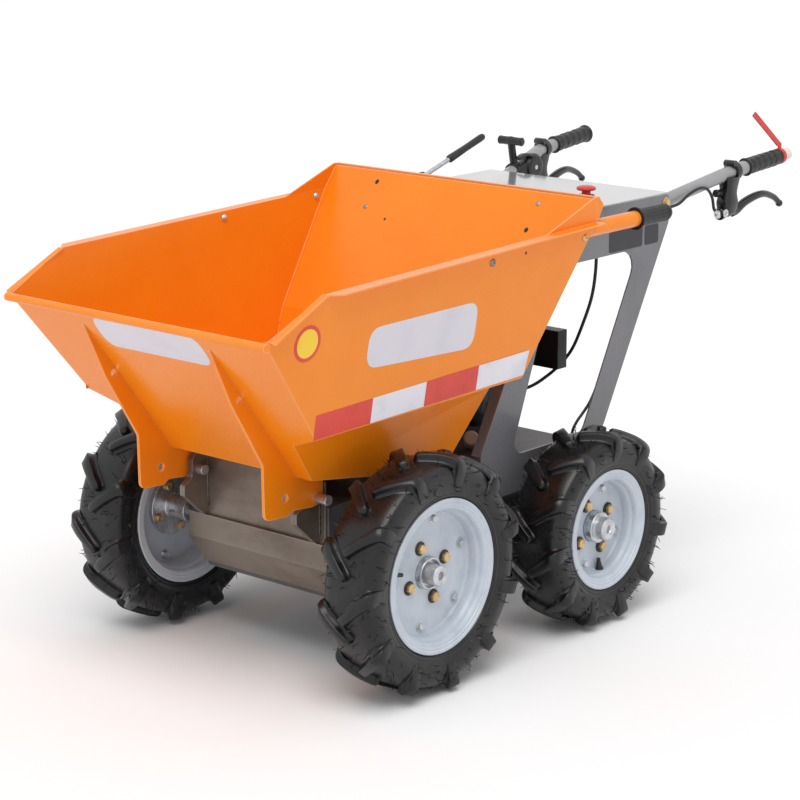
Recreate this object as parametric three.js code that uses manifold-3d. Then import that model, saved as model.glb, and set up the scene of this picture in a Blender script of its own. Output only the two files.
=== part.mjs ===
// Walk-behind site dumper: a front-tipping skip on a four-wheel chassis with side frames and handlebars.
// Millimetres, +Z up. The skip's lip faces -Y, the operator stands at +Y, the machine's left side is +X.
// While it is built, y = 0 lies midway between the axles; at the end the group is moved to its own base centre.
import * as THREE from "three";
import { mergeVertices } from "three/addons/utils/BufferGeometryUtils.js";
import Module from "manifold-3d";

const wasm = await Module();
wasm.setup();

// Overall sizes
const WHEELBASE = 512; // front axle to rear axle
const AXLE_FRONT_Y = -WHEELBASE / 2;
const AXLE_REAR_Y = WHEELBASE / 2;
const TYRE_R_FRONT = 228; // over the tread bars
const TYRE_R_REAR = 199;
const TRACK_HALF = 326; // machine's centre to the middle of a tyre
const GAP = 0.3; // between two pieces that touch
const SHEET = 3; // skip sheet
const PLATE = 4; // frame plate

// ---- solids ---------------------------------------------------------------------------------------------

// A position-only geometry as a solid for cutting and joining.
function solid(geometry) {
  const bare = new THREE.BufferGeometry();
  const flat = geometry.index ? geometry.toNonIndexed() : geometry;
  bare.setAttribute("position", flat.getAttribute("position").clone());
  const merged = mergeVertices(bare, 1e-4);
  return new wasm.Manifold(
    new wasm.Mesh({
      numProp: 3,
      vertProperties: merged.attributes.position.array,
      triVerts: new Uint32Array(merged.index.array),
    }),
  );
}

// A finished solid as a three.js geometry.
function geometryOf(body) {
  const mesh = body.getMesh();
  const geometry = new THREE.BufferGeometry();
  const count = mesh.vertProperties.length / mesh.numProp;
  const positions = new Float32Array(count * 3);
  for (let i = 0; i < count; i++) {
    for (let k = 0; k < 3; k++) positions[i * 3 + k] = mesh.vertProperties[i * mesh.numProp + k];
  }
  geometry.setAttribute("position", new THREE.BufferAttribute(positions, 3));
  geometry.setIndex(new THREE.BufferAttribute(new Uint32Array(mesh.triVerts), 1));
  return geometry;
}

const join = (...bodies) => bodies.reduce((a, b) => a.add(b));
const cut = (body, ...tools) => tools.reduce((a, b) => a.subtract(b), body);

function box(x0, x1, y0, y1, z0, z1) {
  const geometry = new THREE.BoxGeometry(x1 - x0, y1 - y0, z1 - z0);
  geometry.translate((x0 + x1) / 2, (y0 + y1) / 2, (z0 + z1) / 2);
  return solid(geometry);
}

// An outline as a three.js shape, with any holes cut out of it.
function outline(points, holes = []) {
  const shape = new THREE.Shape(points.map(([a, b]) => new THREE.Vector2(a, b)));
  for (const hole of holes) shape.holes.push(new THREE.Path(hole.map(([a, b]) => new THREE.Vector2(a, b))));
  return shape;
}

// A side view [y, z] given a thickness from x0 to x1.
function plateX(points, x0, x1, holes = []) {
  const geometry = new THREE.ExtrudeGeometry(outline(points, holes), { depth: x1 - x0, bevelEnabled: false });
  const turn = new THREE.Matrix4().set(0, 0, 1, x0, 1, 0, 0, 0, 0, 1, 0, 0, 0, 0, 0, 1);
  geometry.applyMatrix4(turn);
  return solid(geometry);
}

// The points of a circle or an arc about (a, b), in degrees.
function arc(a, b, r, from, to, steps) {
  const points = [];
  for (let i = 0; i <= steps; i++) {
    const t = THREE.MathUtils.degToRad(from + ((to - from) * i) / steps);
    points.push([a + r * Math.cos(t), b + r * Math.sin(t)]);
  }
  return points;
}

const circle = (a, b, r, steps) => arc(a, b, r, 0, 360 - 360 / steps, steps - 1);

// An outline with each corner rounded off: every point is [a, b] or [a, b, radius].
function rounded(points, steps = 4) {
  const out = [];
  const n = points.length;
  for (let i = 0; i < n; i++) {
    const [a, b, r] = points[i];
    if (!r) {
      out.push([a, b]);
      continue;
    }
    const here = new THREE.Vector2(a, b);
    const before = new THREE.Vector2(points[(i + n - 1) % n][0], points[(i + n - 1) % n][1]).sub(here).normalize();
    const after = new THREE.Vector2(points[(i + 1) % n][0], points[(i + 1) % n][1]).sub(here).normalize();
    const half = Math.acos(THREE.MathUtils.clamp(before.dot(after), -1, 1)) / 2;
    const reach = r / Math.tan(half);
    const centre = before.clone().add(after).normalize().multiplyScalar(r / Math.sin(half)).add(here);
    const start = before.clone().multiplyScalar(reach).add(here).sub(centre);
    const end = after.clone().multiplyScalar(reach).add(here).sub(centre);
    const from = Math.atan2(start.y, start.x);
    let sweep = Math.atan2(end.y, end.x) - from;
    if (sweep > Math.PI) sweep -= 2 * Math.PI;
    if (sweep < -Math.PI) sweep += 2 * Math.PI;
    for (let k = 0; k <= steps; k++) {
      const t = from + (sweep * k) / steps;
      out.push([centre.x + r * Math.cos(t), centre.y + r * Math.sin(t)]);
    }
  }
  return out;
}

// A round bar or tapered bar from one point to another.
function bar(from, to, r0, r1 = r0, sides = 12) {
  const a = new THREE.Vector3(...from);
  const b = new THREE.Vector3(...to);
  const along = b.clone().sub(a);
  const geometry = new THREE.CylinderGeometry(r1, r0, along.length(), sides, 1);
  const turn = new THREE.Quaternion().setFromUnitVectors(new THREE.Vector3(0, 1, 0), along.clone().normalize());
  geometry.applyQuaternion(turn);
  geometry.translate(...a.clone().add(b).multiplyScalar(0.5).toArray());
  return solid(geometry);
}

// A profile [x, radius] turned about the X axis, then moved to (0, y, z). A flat of the ring faces down.
function turnedX(profile, y, z, segments) {
  const points = profile.map(([x, r]) => new THREE.Vector2(r / Math.cos(Math.PI / segments), x));
  if (THREE.ShapeUtils.isClockWise(points)) points.reverse();
  points.push(points[0].clone());
  const geometry = new THREE.LatheGeometry(points, segments);
  geometry.rotateY(Math.PI / segments);
  const turn = new THREE.Matrix4().set(0, 1, 0, 0, 0, 0, 1, y, 1, 0, 0, z, 0, 0, 0, 1);
  geometry.applyMatrix4(turn);
  return solid(geometry);
}

// A round cord or tube of radius r through the given points.
function tube(points, r, sides = 8, steps = 24, tension = 0.5) {
  const path = new THREE.CatmullRomCurve3(points.map((p) => new THREE.Vector3(...p)), false, "catmullrom", tension);
  const section = new THREE.Shape(circle(0, 0, r, sides).map(([a, b]) => new THREE.Vector2(a, b)));
  const geometry = new THREE.ExtrudeGeometry(section, { steps, extrudePath: path, bevelEnabled: false });
  return solid(geometry);
}

const mirrored = (body) => body.mirror([1, 0, 0]);

// ---- the assembly ---------------------------------------------------------------------------------------

const group = new THREE.Group();
group.name = "site_dumper";

function add(name, body, color) {
  const material = new THREE.MeshStandardMaterial({ color });
  material.name = name + "_finish";
  const mesh = new THREE.Mesh(geometryOf(body), material);
  mesh.name = name;
  group.add(mesh);
}

// The same piece on the left, and mirrored on the right.
function addPair(name, body, color) {
  add(name + "_left", body, color);
  add(name + "_right", mirrored(body), color);
}

const ORANGE = 0xf07a1e;
const BARE_STEEL = 0x77706a;
const FRAME_GREY = 0x85868c;
const BLACK = 0x1c1c1e;
const ZINC = 0xb9bcc0;
const RIM_GREY = 0xa9b3bf;
const RUBBER = 0x2a2a2c;
const RED = 0xd23b36;
const CAST = 0x5c5f64;

// ---- wheels: tyre, rim and hub on each corner --------------------------------------------------------------

const TYRE_WIDTH = 120;
const RIM_WIDTH = 103; // over the flanges
const SEAT_DROP = 17.5; // flange edge down to the bead seat
const WELL_DROP = 24; // flange edge down to the well
const RIM_SHEET = 3;
const DISC_OUT = 12; // middle of the rim out to the disc's outer face
const AXLE_R = 12.5;
const HUB_BORE_R = AXLE_R + 0.8;
const HUB_FLANGE_R = 60;
const WHEEL_SEGMENTS = 28;
const HUB_SEGMENTS = 16;

function tyreProfile(outerR, flangeR) {
  const half = TYRE_WIDTH / 2;
  const seat = flangeR - SEAT_DROP + GAP;
  const inner = RIM_WIDTH / 2 - RIM_SHEET - 2 - 2 * GAP;
  const depth = outerR - flangeR;
  const side = [
    [inner, seat],
    [inner, flangeR + 1.5],
    [half - 3, flangeR + depth * 0.22],
    [half, flangeR + depth * 0.5],
    [half - 3, outerR - depth * 0.2],
    [half - 18, outerR],
  ];
  const other = side.map(([x, r]) => [-x, r]).reverse();
  return [...side, ...other].map(([x, r]) => [TRACK_HALF + x, r]);
}

function rimProfile(flangeR, hubHoleR) {
  const half = RIM_WIDTH / 2;
  const seat = flangeR - SEAT_DROP;
  const well = flangeR - WELL_DROP;
  const t = RIM_SHEET;
  // Outside (tyre side) from the outer flange inwards, then back along the inside, with the disc on the way.
  const profile = [
    [half, flangeR],
    [half - t, flangeR],
    [half - t - 2, seat],
    [half - 26, seat - 1],
    [half - 31, well],
    [-half + 31, well],
    [-half + 26, seat - 1],
    [-half + t + 2, seat],
    [-half + t, flangeR],
    [-half, flangeR],
    [-half, seat - t],
    [-half + 24, seat - t - 1],
    [-half + 29, well - t],
    [DISC_OUT - 4, well - t],
    [DISC_OUT - 4, hubHoleR],
    [DISC_OUT, hubHoleR],
    [DISC_OUT, well - t],
    [half - 29, well - t],
    [half - 24, seat - t - 1],
    [half, seat - t],
  ];
  return profile.map(([x, r]) => [TRACK_HALF + x, r]);
}

// The hub: a flange bolted behind the disc, a sleeve on the axle, and a collar out through the disc.
function hubProfile(collarR, collarOut, capR, capOut) {
  const back = TRACK_HALF + DISC_OUT - 4 - GAP;
  return [
    [back - 60, HUB_BORE_R],
    [back - 60, 24],
    [back - 10, 24],
    [back - 10, HUB_FLANGE_R],
    [back, HUB_FLANGE_R],
    [back, collarR],
    [back + collarOut, collarR],
    [back + collarOut, capR],
    [back + capOut, capR],
    [back + capOut, 4],
    [back + collarOut - 2, 4],
    [back + collarOut - 2, HUB_BORE_R],
  ];
}

const WHEELS = [
  { name: "front", y: AXLE_FRONT_Y, r: TYRE_R_FRONT, flangeR: 144.5, collar: [30, 16, 19.5, 39.5] },
  { name: "rear", y: AXLE_REAR_Y, r: TYRE_R_REAR, flangeR: 119, collar: [31, 23, 22, 44] },
];
const AXLE_END_X = TRACK_HALF + DISC_OUT;

for (const wheel of WHEELS) {
  const tyre = turnedX(tyreProfile(wheel.r, wheel.flangeR), wheel.y, wheel.r, WHEEL_SEGMENTS);
  const boreR = wheel.collar[0] / Math.cos(Math.PI / HUB_SEGMENTS) + GAP;
  const rim = turnedX(rimProfile(wheel.flangeR, boreR), wheel.y, wheel.r, WHEEL_SEGMENTS);
  const hub = turnedX(hubProfile(...wheel.collar), wheel.y, wheel.r, HUB_SEGMENTS);
  addPair("tyre_" + wheel.name, tyre, RUBBER);
  addPair("rim_" + wheel.name, rim, RIM_GREY);
  addPair("hub_" + wheel.name, hub, ZINC);
  // The axle runs right through the chassis; each hub turns on its end.
  const axleFrom = [-AXLE_END_X, wheel.y, wheel.r];
  const axleTo = [AXLE_END_X, wheel.y, wheel.r];
  add("axle_" + wheel.name, bar(axleFrom, axleTo, AXLE_R, AXLE_R, 16), ZINC);
}

// ---- chassis: a folded box open below, its deck, and the bearing housings ---------------------------------

const CHASSIS_HALF = 170;
const CHASSIS_FRONT_Y = -336;
const CHASSIS_REAR_Y = 330;
const CHASSIS_LOW_Z = 150;
const DECK_Z = 336; // top of the deck
const DECK_HALF = 231.7; // reaches the side frames
const DECK_REAR_Y = 360;
const BEARING_R = 38;
const BEARING_OUT = 34;

{
  // The side view of the folded box, drawn in by a wall: its lower front and rear corners slope.
  const side = (wall, low) => [
    [CHASSIS_FRONT_Y + wall, 212],
    [CHASSIS_FRONT_Y + 24 + wall, low],
    [CHASSIS_REAR_Y - 24 - wall, low],
    [CHASSIS_REAR_Y - wall, 212],
    [CHASSIS_REAR_Y - wall, DECK_Z - wall],
    [CHASSIS_FRONT_Y + wall, DECK_Z - wall],
  ];
  const outer = plateX(side(0, CHASSIS_LOW_Z), -CHASSIS_HALF, CHASSIS_HALF);
  const inside = plateX(side(PLATE, CHASSIS_LOW_Z - 4), -CHASSIS_HALF + PLATE, CHASSIS_HALF - PLATE);
  const deck = box(-DECK_HALF, DECK_HALF, -20, DECK_REAR_Y, DECK_Z - PLATE, DECK_Z);
  let chassis = join(cut(outer, inside), deck);
  for (const wheel of WHEELS) {
    for (const side of [-1, 1]) {
      const from = side * (CHASSIS_HALF - PLATE / 2);
      const to = side * (CHASSIS_HALF + BEARING_OUT);
      chassis = chassis.add(bar([from, wheel.y, wheel.r], [to, wheel.y, wheel.r], BEARING_R, BEARING_R - 6, 16));
    }
    const bore = bar([-300, wheel.y, wheel.r], [300, wheel.y, wheel.r], AXLE_R + GAP, AXLE_R + GAP, 16);
    chassis = chassis.subtract(bore);
  }
  add("chassis", chassis, FRAME_GREY);
  // The gearbox hangs from the deck inside the box, ahead of the rear axle, with a drive case back to it.
  const roof = DECK_Z - PLATE - GAP;
  add("gearbox", box(-95, 95, 30, AXLE_REAR_Y - AXLE_R - 4, 186, roof), CAST);
}

// ---- front plate, its pivot gussets and the folded guard below --------------------------------------------

const PIN_Y = -361;
const PIN_Z = 360;
const PIN_R = 10;
const FRONT_PLATE_Y = CHASSIS_FRONT_Y - GAP;
const GUSSET_IN = 140;
const GUSSET_OUT = 152;

{
  const half = 165;
  const body = box(-half, half, FRONT_PLATE_Y - PLATE, FRONT_PLATE_Y, 214, 385);
  add("front_plate", body, BARE_STEEL);
  const face = FRONT_PLATE_Y - PLATE - GAP;
  const shape = rounded([
    [face, 268],
    [face - 12, 268],
    [-404, 314, 4],
    [-404, 334, 6],
    [-383, 346, 6],
    [-381, 380, 10],
    [-372, 393, 8],
    [face, 393],
  ]);
  const hole = circle(PIN_Y, PIN_Z, PIN_R + GAP, 16);
  addPair("pivot_gusset", plateX(shape, GUSSET_IN, GUSSET_OUT, [hole]), BARE_STEEL);
  // The guard: an upper face, a fold, and a lower face that slopes back and narrows.
  const t = 3;
  const top = 266;
  const fold = 219;
  const low = 166;
  const side = [
    [face, top],
    [face, top - t],
    [face - 6, top - t],
    [face - 9, fold],
    [face + 14, low + 1],
    [face + 11, low],
    [face - 9 - t, fold],
    [face - 8, top],
  ];
  let guard = plateX(side, -184, 184);
  for (const s of [-1, 1]) {
    const corner = [
      [s * 184, fold - 4],
      [s * 158, low - 10],
      [s * 220, low - 10],
      [s * 220, fold - 4],
    ];
    const geometry = new THREE.ExtrudeGeometry(outline(s > 0 ? corner : corner.reverse()), {
      depth: 80,
      bevelEnabled: false,
    });
    geometry.rotateX(Math.PI / 2);
    geometry.translate(0, face + 40, 0);
    guard = guard.subtract(solid(geometry));
  }
  add("front_guard", guard, BARE_STEEL);
}

// ---- skip: folded and welded sheet, open at the top --------------------------------------------------------

const LIP_Y = -658;
const LIP_Z = 722;
const FLOOR_FRONT = [-418, 412];
const FLOOR_REAR = [-52, 354];
const LEDGE_X = 219;
const LEDGE_Z = 492;
const CREASE_X = 292;
const CREASE_Z = 519;
const CREASE_RISE = 7; // the crease stands this much higher at the rear
const SIDE_FLARE = 0.165; // outward per millimetre up, above the crease
const REAR_BEND_Z = 814;
const TOP_Z = 860;
const RIM_FRONT = [-521, 788];
const RIM_MID = [92, 807];
const RIM_FOLD = 24; // width of the long rim's outward fold
const SLOPE_FOLD = 13; // and of the sloping cut's

// y of the front panel and of the rear wall at a height, and half the skip's width.
const frontY = (z) => FLOOR_FRONT[0] + ((LIP_Y - FLOOR_FRONT[0]) * (z - FLOOR_FRONT[1])) / (LIP_Z - FLOOR_FRONT[1]);
// The side sheets reach behind the rear wall, which leans further forward than their edges do.
const SIDE_REAR_LINE = [
  FLOOR_REAR,
  [72, LEDGE_Z + 4],
  [80, CREASE_Z + CREASE_RISE],
  [248, REAR_BEND_Z],
  [247, TOP_Z],
];
const WALL_LINE = [[-84, FLOOR_REAR[1]], [43, 592], [250, TOP_Z]]; // inside of the rear wall
const WALL_SLANT = 1.27; // the leaning wall's thickness in y, per millimetre of sheet
function alongLine(line, z) {
  let i = 0;
  while (i < line.length - 2 && z > line[i + 1][1]) i++;
  const [[y0, z0], [y1, z1]] = [line[i], line[i + 1]];
  return y0 + ((y1 - y0) * (z - z0)) / (z1 - z0);
}
const FLOOR_FALL = (FLOOR_REAR[1] - FLOOR_FRONT[1]) / (FLOOR_REAR[0] - FLOOR_FRONT[0]);
const floorAt = (y) => FLOOR_FRONT[1] + FLOOR_FALL * (y - FLOOR_FRONT[0]); // underside of the floor
const rearY = (z) => alongLine(SIDE_REAR_LINE, z);
const wallY = (z) => alongLine(WALL_LINE, z);
const sideX = (z) => CREASE_X + SIDE_FLARE * (Math.min(z, RIM_MID[1]) - CREASE_Z);

// A solid through four-cornered rings, each [xFront, yFront, zFront, xRear, yRear, zRear], lowest ring first.
function ringsSolid(rings) {
  const positions = [];
  for (const [xf, yf, zf, xr, yr, zr] of rings) {
    positions.push(xf, yf, zf, xr, yr, zr, -xr, yr, zr, -xf, yf, zf);
  }
  const index = [0, 2, 1, 0, 3, 2];
  for (let k = 0; k + 1 < rings.length; k++) {
    for (let i = 0; i < 4; i++) {
      const a = 4 * k + i;
      const b = 4 * k + ((i + 1) % 4);
      index.push(a, b, b + 4, a, b + 4, a + 4);
    }
  }
  const last = 4 * (rings.length - 1);
  index.push(last, last + 1, last + 2, last, last + 2, last + 3);
  const geometry = new THREE.BufferGeometry();
  geometry.setAttribute("position", new THREE.BufferAttribute(new Float32Array(positions), 3));
  geometry.setIndex(index);
  return solid(geometry);
}

{
  const t = SHEET;
  const bottomX = 205;
  const ring = (x, zf, zr = zf) => [x, frontY(zf), zf, x, rearY(zr), zr];
  const above = TOP_Z + 20;
  const outerRings = [
    ring(bottomX, FLOOR_FRONT[1], FLOOR_REAR[1]),
    ring(LEDGE_X, LEDGE_Z, LEDGE_Z + 4),
    ring(CREASE_X, CREASE_Z, CREASE_Z + CREASE_RISE),
    ring(sideX(RIM_MID[1]), RIM_MID[1]),
    ring(sideX(REAR_BEND_Z), REAR_BEND_Z),
    ring(sideX(above), above),
  ];
  // Half the width inside the sheets, and the heights at the front and at the rear wall, floor first.
  const levels = [
    [bottomX - t, FLOOR_FRONT[1] + t, floorAt(WALL_LINE[0][0]) + t],
    [LEDGE_X - t, LEDGE_Z + 0.7 * t, LEDGE_Z + 4 + 0.7 * t],
    [CREASE_X - t, CREASE_Z + t, CREASE_Z + CREASE_RISE + t],
    [sideX(WALL_LINE[1][1]) - t, WALL_LINE[1][1], WALL_LINE[1][1]],
    [sideX(RIM_MID[1]) - t, RIM_MID[1], RIM_MID[1]],
    [sideX(above) - t, above + t, above + t],
  ];
  const inside = levels.map(([x, zf, zr]) => [x, frontY(zf) + 1.26 * t, zf, x, wallY(zr), zr]);
  const behind = levels.map(([x, , zr]) => [x, wallY(zr) + WALL_SLANT * t, zr, x, rearY(zr) + 60, zr]);
  const low = FLOOR_REAR[1] - 20;
  behind[0] = [bottomX - t, wallY(low) + WALL_SLANT * t, low, bottomX - t, 60, low];
  const shell = cut(ringsSolid(outerRings), ringsSolid(inside), ringsSolid(behind));
  // All above the rim line is cut away: lip, sloping front cut, long rim, rear gusset, top of the rear wall.
  const rimLine = [[LIP_Y - 200, LIP_Z], [LIP_Y, LIP_Z], RIM_FRONT, RIM_MID, [241, TOP_Z], [400, TOP_Z]];
  const cutter = plateX([...rimLine, [400, 1000], [LIP_Y - 200, 1000]], -500, 500);
  let tub = cut(shell, cutter);
  // The rim is folded outwards, a little along the sloping cut and further along the long rim, where its
  // front end is mitred.
  const foldSlope = [[LIP_Y + 6, LIP_Z + 3], RIM_FRONT, [RIM_FRONT[0] + 2, RIM_FRONT[1] - t], [LIP_Y + 8, LIP_Z]];
  const foldLong = [RIM_FRONT, [RIM_FRONT[0], RIM_FRONT[1] - t], [250, 811.9 - t], [250, 811.9]];
  for (const s of [-1, 1]) {
    const slopeX = s * (sideX((LIP_Z + RIM_FRONT[1]) / 2) - 1.5);
    const longX = s * (sideX(RIM_FRONT[1] + 8) - 1.5);
    const slopeEdge = [slopeX, slopeX + s * SLOPE_FOLD].sort((a, b) => a - b);
    const longEdge = [longX, longX + s * RIM_FOLD].sort((a, b) => a - b);
    const farX = longX + s * 2 * RIM_FOLD;
    const mitre = [[longX, RIM_FRONT[0] - 1], [farX, RIM_FRONT[0] - 1], [farX, RIM_FRONT[0] + 2 * RIM_FOLD]];
    const wedge = new THREE.ExtrudeGeometry(outline(s > 0 ? mitre : mitre.reverse()), {
      depth: 40,
      bevelEnabled: false,
    });
    wedge.translate(0, 0, RIM_FRONT[1] - 20);
    tub = tub.add(plateX(foldSlope, slopeEdge[0], slopeEdge[1]));
    tub = tub.add(cut(plateX(foldLong, longEdge[0], longEdge[1]), solid(wedge)));
    // Closing plates behind the rear wall's folded top.
    const edge = [s * 338, s * 334].sort((a, b) => a - b);
    tub = tub.add(plateX([[244, TOP_Z - 2], [254, 857], [271, 841], [255, 815], [245, 815]], edge[0], edge[1]));
  }
  // The rear wall's top is folded back, and the lip is rolled.
  tub = tub.add(plateX([[247.5, TOP_Z], [256, TOP_Z], [272, 842], [270, 840], [254, 857], [247.5, 857]], -338, 338));
  tub = tub.add(bar([-330, LIP_Y - 2, LIP_Z - 5], [330, LIP_Y - 2, LIP_Z - 5], 8, 8, 12));
  add("skip_tub", tub, ORANGE);

  // Ribs: plates on the front panel that end in the ears on the pivot pins.
  const RIB_X0 = 158;
  const RIB_X1 = 164;
  const off = GAP + 0.2;
  const onPanel = (z) => [frontY(z) - off, z];
  const floorZ = (y) => floorAt(y) - off;
  const rib = rounded([
    onPanel(684),
    [-579, 578, 20],
    [-501, 450, 12],
    [-499, 345, 14],
    [-440, 342, 10],
    [-426, 350, 8],
    [-374, 345, 12],
    [-345.5, 350, 14],
    [-345.5, floorZ(-345.5)],
    [FLOOR_FRONT[0] - off, FLOOR_FRONT[1] - off],
  ], 3);
  const holes = [circle(PIN_Y, PIN_Z, PIN_R + GAP, 16), circle(-445, 377, 8, 12), circle(-559, 581, 7, 12)];
  addPair("skip_rib", plateX(rib, RIB_X0, RIB_X1, holes), ORANGE);
  // Pins: from inside each gusset out through the ear.
  addPair("pivot_pin", bar([GUSSET_IN - 14, PIN_Y, PIN_Z], [RIB_X1 + 30, PIN_Y, PIN_Z], PIN_R, PIN_R, 16), ZINC);
}

// ---- lift handles on the skip's rear corners ---------------------------------------------------------------

{
  const x = 317.5; // inside the side sheets, behind the rear wall
  const z = 795;
  const r = 16;
  const face = (h) => [wallY(h) + WALL_SLANT * SHEET + GAP, h];
  const wall = [[0, z - 30], face(z - 30), face(z + 30), [0, z + 30]];
  const whole = bar([x, wallY(z) - 20, z], [x, 404, z], r, r, 16);
  addPair("lift_tube", cut(whole, plateX(wall, x - 2 * r, x + 2 * r)), ORANGE);
  const ring = bar([x, 404 + GAP, z], [x, 412, z], 21, 21, 16);
  const grip = bar([x, 411, z], [x, 514, z], 15, 15, 16);
  addPair("lift_grip", join(ring, grip), BLACK);
}

// ---- side frames, one plate each with a large window, and the console across them --------------------------

const FRAME_X = 236; // outer face
const FRAME_PLATE = 4;
const CONSOLE_Z = 811;
const CONSOLE_SHEET = 3;
const FRAME_TOP_Z = CONSOLE_Z - CONSOLE_SHEET - GAP;
const RAIL_LOW_Z = 276;

{
  const frame = rounded([
    [36, RAIL_LOW_Z],
    [372, RAIL_LOW_Z],
    [428, 361, 20],
    [640, 748, 8],
    [640, FRAME_TOP_Z, 10],
    [266, FRAME_TOP_Z, 8],
    [28, 372, 20],
  ]);
  const window = rounded([
    [120, 352, 26],
    [352, 352, 30],
    [538, 707, 34],
    [258, 707, 20],
  ], 5);
  const inner = FRAME_X - FRAME_PLATE;
  let plate = plateX(frame, inner, FRAME_X, [window]);
  // Return flange along the front leg's front edge.
  const flange = [[30, 368], [34, 368], [206, 690], [202, 690]];
  plate = plate.add(plateX(flange, inner - 22, inner + 1));
  addPair("side_frame", plate, FRAME_GREY);

  // Console: a top sheet lying on both frames' top edges, folded down between them at front and rear.
  const top = CONSOLE_Z;
  const under = CONSOLE_Z - CONSOLE_SHEET;
  const edge = [[262, under], [640, under], [640, top - 2], [638, top], [264, top], [262, top - 2]];
  const sheet = plateX(edge, -FRAME_X, FRAME_X);
  const half = inner - GAP;
  const front = box(-half, half, 262, 262 + CONSOLE_SHEET, under - 60, under + 1);
  const rear = box(-190, 190, 640 - CONSOLE_SHEET, 640, under - 60, under + 1);
  add("console_cover", join(sheet, front, rear), FRAME_GREY);
}

// ---- handlebars, grips, brake levers ------------------------------------------------------------------------

const BAR_R = 14.5;
const BAR_START = [208, 560, 768];
const BAR_LEAVES = [216, 655, 789];
const BAR_BEND = [254, 837, 831];
const BAR_END = [263.5, 1021, 847];
const GRIP_R = BAR_R + 3;
const CLAMP_R = BAR_R + 6.5;
const CABLE_NUT = [[BAR_BEND[0], 785, 755], [BAR_BEND[0], 798, 742]]; // the nut at the lever that a cable enters

// The point at a given y on a straight run from one point to another.
function atY(from, to, y) {
  const t = (y - from[1]) / (to[1] - from[1]);
  return from.map((v, i) => v + (to[i] - v) * t);
}

{
  const inFrame = bar(BAR_START, atY(BAR_START, BAR_LEAVES, BAR_LEAVES[1] + 2), BAR_R, BAR_R, 14);
  const rising = bar(BAR_LEAVES, atY(BAR_LEAVES, BAR_BEND, BAR_BEND[1] + 2), BAR_R, BAR_R, 14);
  const held = bar(BAR_BEND, BAR_END, BAR_R, BAR_R, 14);
  // A flat lug inside the frame carries the tube: it is bolted through the frame plate.
  const lug = box(FRAME_X - FRAME_PLATE - GAP - 6, FRAME_X - FRAME_PLATE - GAP, 566, 632, 752, 786);
  addPair("handlebar", join(inFrame, rising, held, lug), FRAME_GREY);

  const sleeve = (fromY, toY) => {
    const a = atY(BAR_BEND, BAR_END, fromY);
    const b = atY(BAR_BEND, BAR_END, toY);
    const boreFrom = atY(BAR_BEND, BAR_END, fromY - 5);
    const boreTo = atY(BAR_BEND, BAR_END, toY + 5);
    const bore = bar(boreFrom, boreTo, BAR_R + GAP, BAR_R + GAP, 14);
    return cut(bar(a, b, GRIP_R, GRIP_R, 14), bore);
  };
  add("handlebar_grip_left", sleeve(888, 1008), BLACK);
  add("handlebar_grip_right", mirrored(sleeve(888, 1021)), BLACK);

  // Brake levers: a clamp on the bar, a body hanging below it, and a curved blade that ends in a ball.
  const held0 = (y) => atY(BAR_BEND, BAR_END, y);
  const straightBore = bar(held0(825), held0(870), BAR_R + GAP, BAR_R + GAP, 14);
  const risingBore = bar(BAR_LEAVES, atY(BAR_LEAVES, BAR_BEND, BAR_BEND[1] + 4), BAR_R + GAP, BAR_R + GAP, 14);
  const x = BAR_BEND[0];
  const ring = bar(held0(840), held0(856), CLAMP_R, CLAMP_R, 14);
  const body = box(x - 12, x + 12, 816, 850, 750, 816);
  const barrel = bar([x, 798, 745], [x, 856, 751], 13, 11, 12);
  const nut = bar(CABLE_NUT[0], CABLE_NUT[1], 6, 6, 8);
  const knob = bar([x - 6, 792, 790], [x - 4, 820, 788], 8, 8, 10);
  const curve = [[2, 852, 750], [4, 880, 766], [8, 922, 775], [11, 962, 770], [13, 1000, 757], [13.5, 1016, 744]];
  const points = curve.map(([dx, y, z]) => [x + dx, y, z]);
  const blade = tube(points, 6, 6, 10);
  const ball = bar([x + 13.5, 1008, 746], [x + 13.5, 1022, 740], 8, 8, 8);
  const whole = join(ring, body, barrel, nut, knob, blade, ball);
  addPair("brake_lever", cut(whole, straightBore, risingBore), BLACK);
}

// The red stop lever stands up from the left tube's end.
{
  const end = BAR_END;
  const ring = cut(
    bar(atY(BAR_BEND, end, 1009), atY(BAR_BEND, end, 1019), GRIP_R, GRIP_R, 14),
    bar(atY(BAR_BEND, end, 1000), atY(BAR_BEND, end, 1030), BAR_R + GAP, BAR_R + GAP, 14),
  );
  const foot = [[1010, 858], [1020, 860], [1020, 873], [914, 952], [904, 944], [1005, 869], [1010, 869]];
  const bore = bar(atY(BAR_BEND, end, 1000), atY(BAR_BEND, end, 1030), BAR_R + GAP, BAR_R + GAP, 14);
  add("red_stop_lever", join(ring, cut(plateX(foot, end[0] - 3, end[0] + 1), bore)), RED);
}

// ---- controls on the console ---------------------------------------------------------------------------------

{
  const at = [140, 481];
  const deck = CONSOLE_Z + GAP;
  const collar = bar([...at, deck], [...at, deck + 5], 14, 13, 12);
  const stem = bar([...at, deck + 4], [...at, deck + 13], 9, 9, 12);
  const head = bar([...at, deck + 12], [...at, deck + 17], 15, 20, 16);
  const cap = bar([...at, deck + 17], [...at, deck + 22], 20, 17, 16);
  add("stop_button", join(collar, stem, head, cap), RED);

  // Gear lever: a long rod from the console's right side, with a plastic grip.
  const foot = [-200, 318, CONSOLE_Z + GAP];
  const neck = [-200, 449, 857];
  const tip = [-200, 567, 895];
  const boot = bar(foot, [foot[0], foot[1], foot[2] + 8], 12, 9, 12);
  const rod = bar([foot[0], foot[1], foot[2] + 5], neck, 5, 5, 10);
  add("gear_lever", join(boot, rod), ZINC);
  const grown = neck.map((v, i) => v + (tip[i] - v) * 0.003);
  add("gear_lever_grip", bar(grown, tip, 7.5, 7, 12), BLACK);
}

// ---- starter handle and throttle on the right handlebar --------------------------------------------------------

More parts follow.
